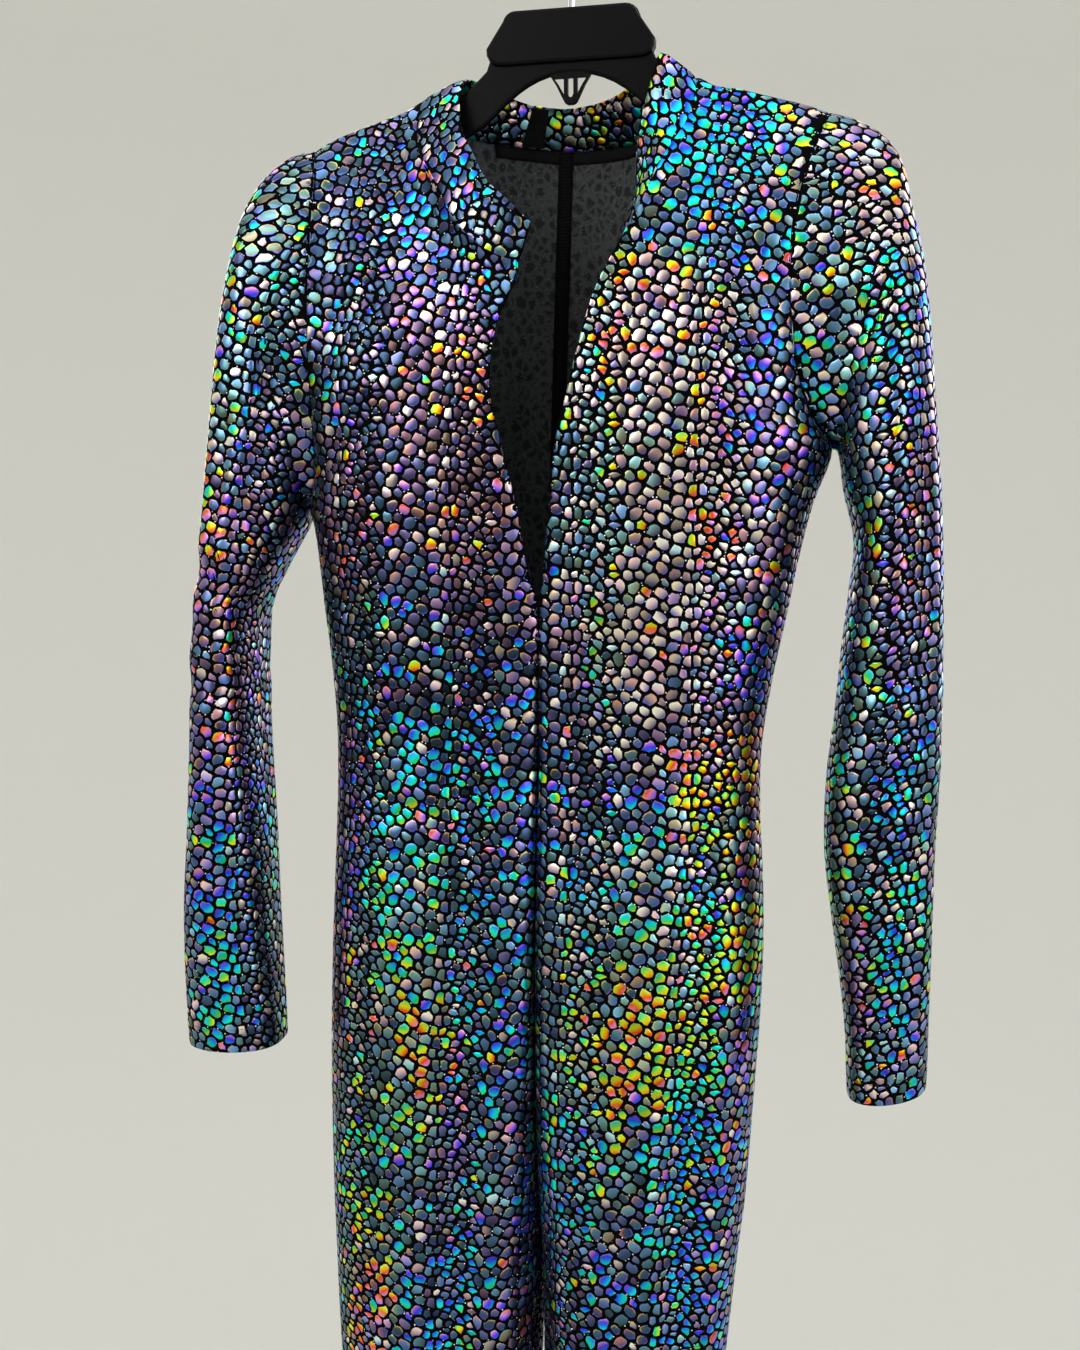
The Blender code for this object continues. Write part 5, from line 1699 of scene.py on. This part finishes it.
def hem_stitches(shade):
    """Two rows of thread above each cuff and each ankle hem."""
    for node, cloth in cloths.items():
        grid, normals = cloth.grid, cloth.normals
        rise = np.linalg.norm(np.diff(grid, axis=0), axis=2).mean(axis=1)[::-1].cumsum()
        rows = []
        for n, away in enumerate(HEM_ROWS):
            steps = int(np.searchsorted(rise, away))
            row = len(grid) - 2 - steps
            upper, lower = grid[row], grid[row + 1]
            span = np.linalg.norm(upper - lower, axis=1).mean()
            below = rise[steps - 1] if steps else 0.0
            part = np.clip((away - below) / span, 0, 1)
            path = lower + (upper - lower) * part
            out = unit(normals[row] + normals[row + 1])
            side = unit(upper - lower)
            if cloth.closed:
                path, out, side = [np.concatenate([item, item[:1]]) for item in (path, out, side)]
            rows.append(stitches(f"{node}_row{n}", path, side, out, 3.4, 2.6, 0.42, 0.0, shade))
        yield node, merged(node + "_hem_thread", rows, shade)


def flat_size(cloth):
    """Width, length and area of the cut, in metres."""
    down, over = np.diff(cloth.open_grid, axis=0), np.diff(cloth.open_grid, axis=1)
    halves = (np.cross(down[:, :-1], over[:-1]), np.cross(over[1:], down[:, 1:]))
    area = sum(np.linalg.norm(half, axis=2).sum() / 2 for half in halves)
    wide, tall = np.ptp(cloth.flat.reshape(-1, 2), axis=0)
    return wide * MM, tall * MM, area * MM * MM


def area_light(name, place, aim, size, watts, colour, lit_only=None):
    """A square lamp aimed at a place, which may light one collection alone."""
    light = bpy.data.lights.new(name, "AREA")
    light.shape = "RECTANGLE"
    light.size, light.size_y = size
    light.energy = watts
    light.color = colour
    item = bpy.data.objects.new(name, light)
    bpy.context.scene.collection.objects.link(item)
    item.light_linking.receiver_collection = lit_only
    item.location = place
    item.rotation_euler = (Vector(aim) - Vector(place)).to_track_quat("-Z", "Y").to_euler()


def backdrop():
    """A pale round floor that curves up into a plain wall on all sides."""
    turns = 96
    rings = [(FLOOR_RADIUS * share, 0.0) for share in (0.25, 0.5, 0.75, 1.0)]
    for step in range(1, 15):
        angle = math.radians(90) * step / 14
        rings.append((FLOOR_RADIUS + WALL_CURVE * math.sin(angle), WALL_CURVE * (1 - math.cos(angle))))
    rings.append((FLOOR_RADIUS + WALL_CURVE, WALL_TOP - FLOOR_Z))
    points = [(0.0, 0.0, FLOOR_Z)]
    for radius, height in rings:
        for turn in range(turns):
            way = 2 * math.pi * turn / turns
            points.append((radius * math.cos(way), radius * math.sin(way), FLOOR_Z + height))
    faces = [(0, 1 + turn, 1 + (turn + 1) % turns) for turn in range(turns)]
    for step in range(len(rings) - 1):
        for turn in range(turns):
            a, b = 1 + step * turns + turn, 1 + step * turns + (turn + 1) % turns
            faces.append((a, a + turns, b + turns, b))
    mesh = bpy.data.meshes.new("Backdrop")
    mesh.from_pydata(points, [], faces)
    mesh.shade_smooth()
    made, _, _ = new_material("Pale paper", BACKDROP, roughness=0.9, specular=0.2)
    mesh.materials.append(made)
    return make_object("Backdrop", mesh)


def place_camera():
    turn, down, roll = math.radians(CAMERA_TURN), math.radians(CAMERA_DOWN), math.radians(CAMERA_ROLL)
    right = Vector((math.cos(turn), math.sin(turn), 0))
    ahead = Vector((-math.sin(turn) * math.cos(down), math.cos(turn) * math.cos(down), -math.sin(down)))
    up = Vector((-math.sin(turn) * math.sin(down), math.cos(turn) * math.sin(down), math.cos(down)))
    side_axis = right * math.cos(roll) + up * math.sin(roll)
    up_axis = up * math.cos(roll) - right * math.sin(roll)
    lens = bpy.data.cameras.new("Camera")
    lens.sensor_fit = "VERTICAL"
    lens.sensor_height = 36.0
    lens.sensor_width = 36.0
    lens.lens = CAMERA_LENS
    lens.clip_end = 60
    camera = bpy.data.objects.new("Camera", lens)
    bpy.context.scene.collection.objects.link(camera)
    turned = Matrix((side_axis, up_axis, -ahead)).transposed()
    camera.matrix_world = Matrix.Translation(CAMERA_PLACE) @ turned.to_4x4()
    bpy.context.scene.camera = camera


draw = np.random.default_rng(SEED)
foil, knit, lining = foil_shade(), knit_shade(), lining_shade()
tape, plastic, wire = tape_shade(), plastic_shade(), wire_shade()
thread, _, _ = new_material("Black thread", (0.014, 0.014, 0.016), roughness=0.6, specular=0.4)


def settle(piece):
    """Fixes a piece to the one body."""
    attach(piece, "root")
    return piece


def dress(node, cloth):
    """Replaces a cloth solid by its thin shell and its foil print."""
    body = settle(shell(node + "_cloth", cloth, CLOTH_THICK, knit, lining))
    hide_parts(node)
    print_ = settle(lay_scales(node + "_foil", cloth, foil, draw))
    return body, print_


cloths = {}
for panel in ("front", "back"):
    for side in ("left", "right"):
        cloths[f"{panel}_{side}"] = panel_cloth(panel, side)
for side in ("left", "right"):
    cloths[f"sleeve_{side}"] = sleeve_cloth(side)
dressed = {node: dress(node, cloth) for node, cloth in cloths.items()}

# The collar is doubled, so its inner face carries the print too
outer_collar, inner_collar = collar_cloth(False), collar_cloth(True)
collar = settle(shell("collar_cloth", outer_collar, CLOTH_THICK, knit, knit, inner_collar))
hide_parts("collar")
collar_prints = [
    settle(lay_scales("collar_foil", outer_collar, foil, draw)),
    settle(lay_scales("collar_foil_inside", inner_collar, foil, draw)),
]

for node, (body, print_) in dressed.items():
    wide, tall, area = flat_size(cloths[node])
wide, tall, area = flat_size(outer_collar)

settle(back_seam_strip("back_seam_tape", tape))
settle(neck_strip("neck_tape", tape))
for name, piece in hem_stitches(thread):
    settle(piece)

for node, shade in (("back_tab", tape), ("hanger_body", plastic), ("hanger_hook", wire)):
    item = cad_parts[node]
    item.data.materials.clear()
    item.data.materials.append(shade)

# The four large lamps light the garment alone, so that the backdrop stays even
garment = bpy.data.collections.new("Garment")
for item in [item for item in bpy.context.scene.objects if item.type == "MESH"]:
    garment.objects.link(item)
backdrop()
for light in LIGHTS[:-1]:
    area_light(*light, garment)
area_light(*LIGHTS[-1])
world = bpy.data.worlds.new("Studio")
world.use_nodes = True
sky = world.node_tree.nodes["Background"]
sky.inputs["Color"].default_value = (*WORLD, 1)
sky.inputs["Strength"].default_value = WORLD_STRENGTH
bpy.context.scene.world = world
bpy.context.scene.view_settings.view_transform = "Standard"
place_camera()
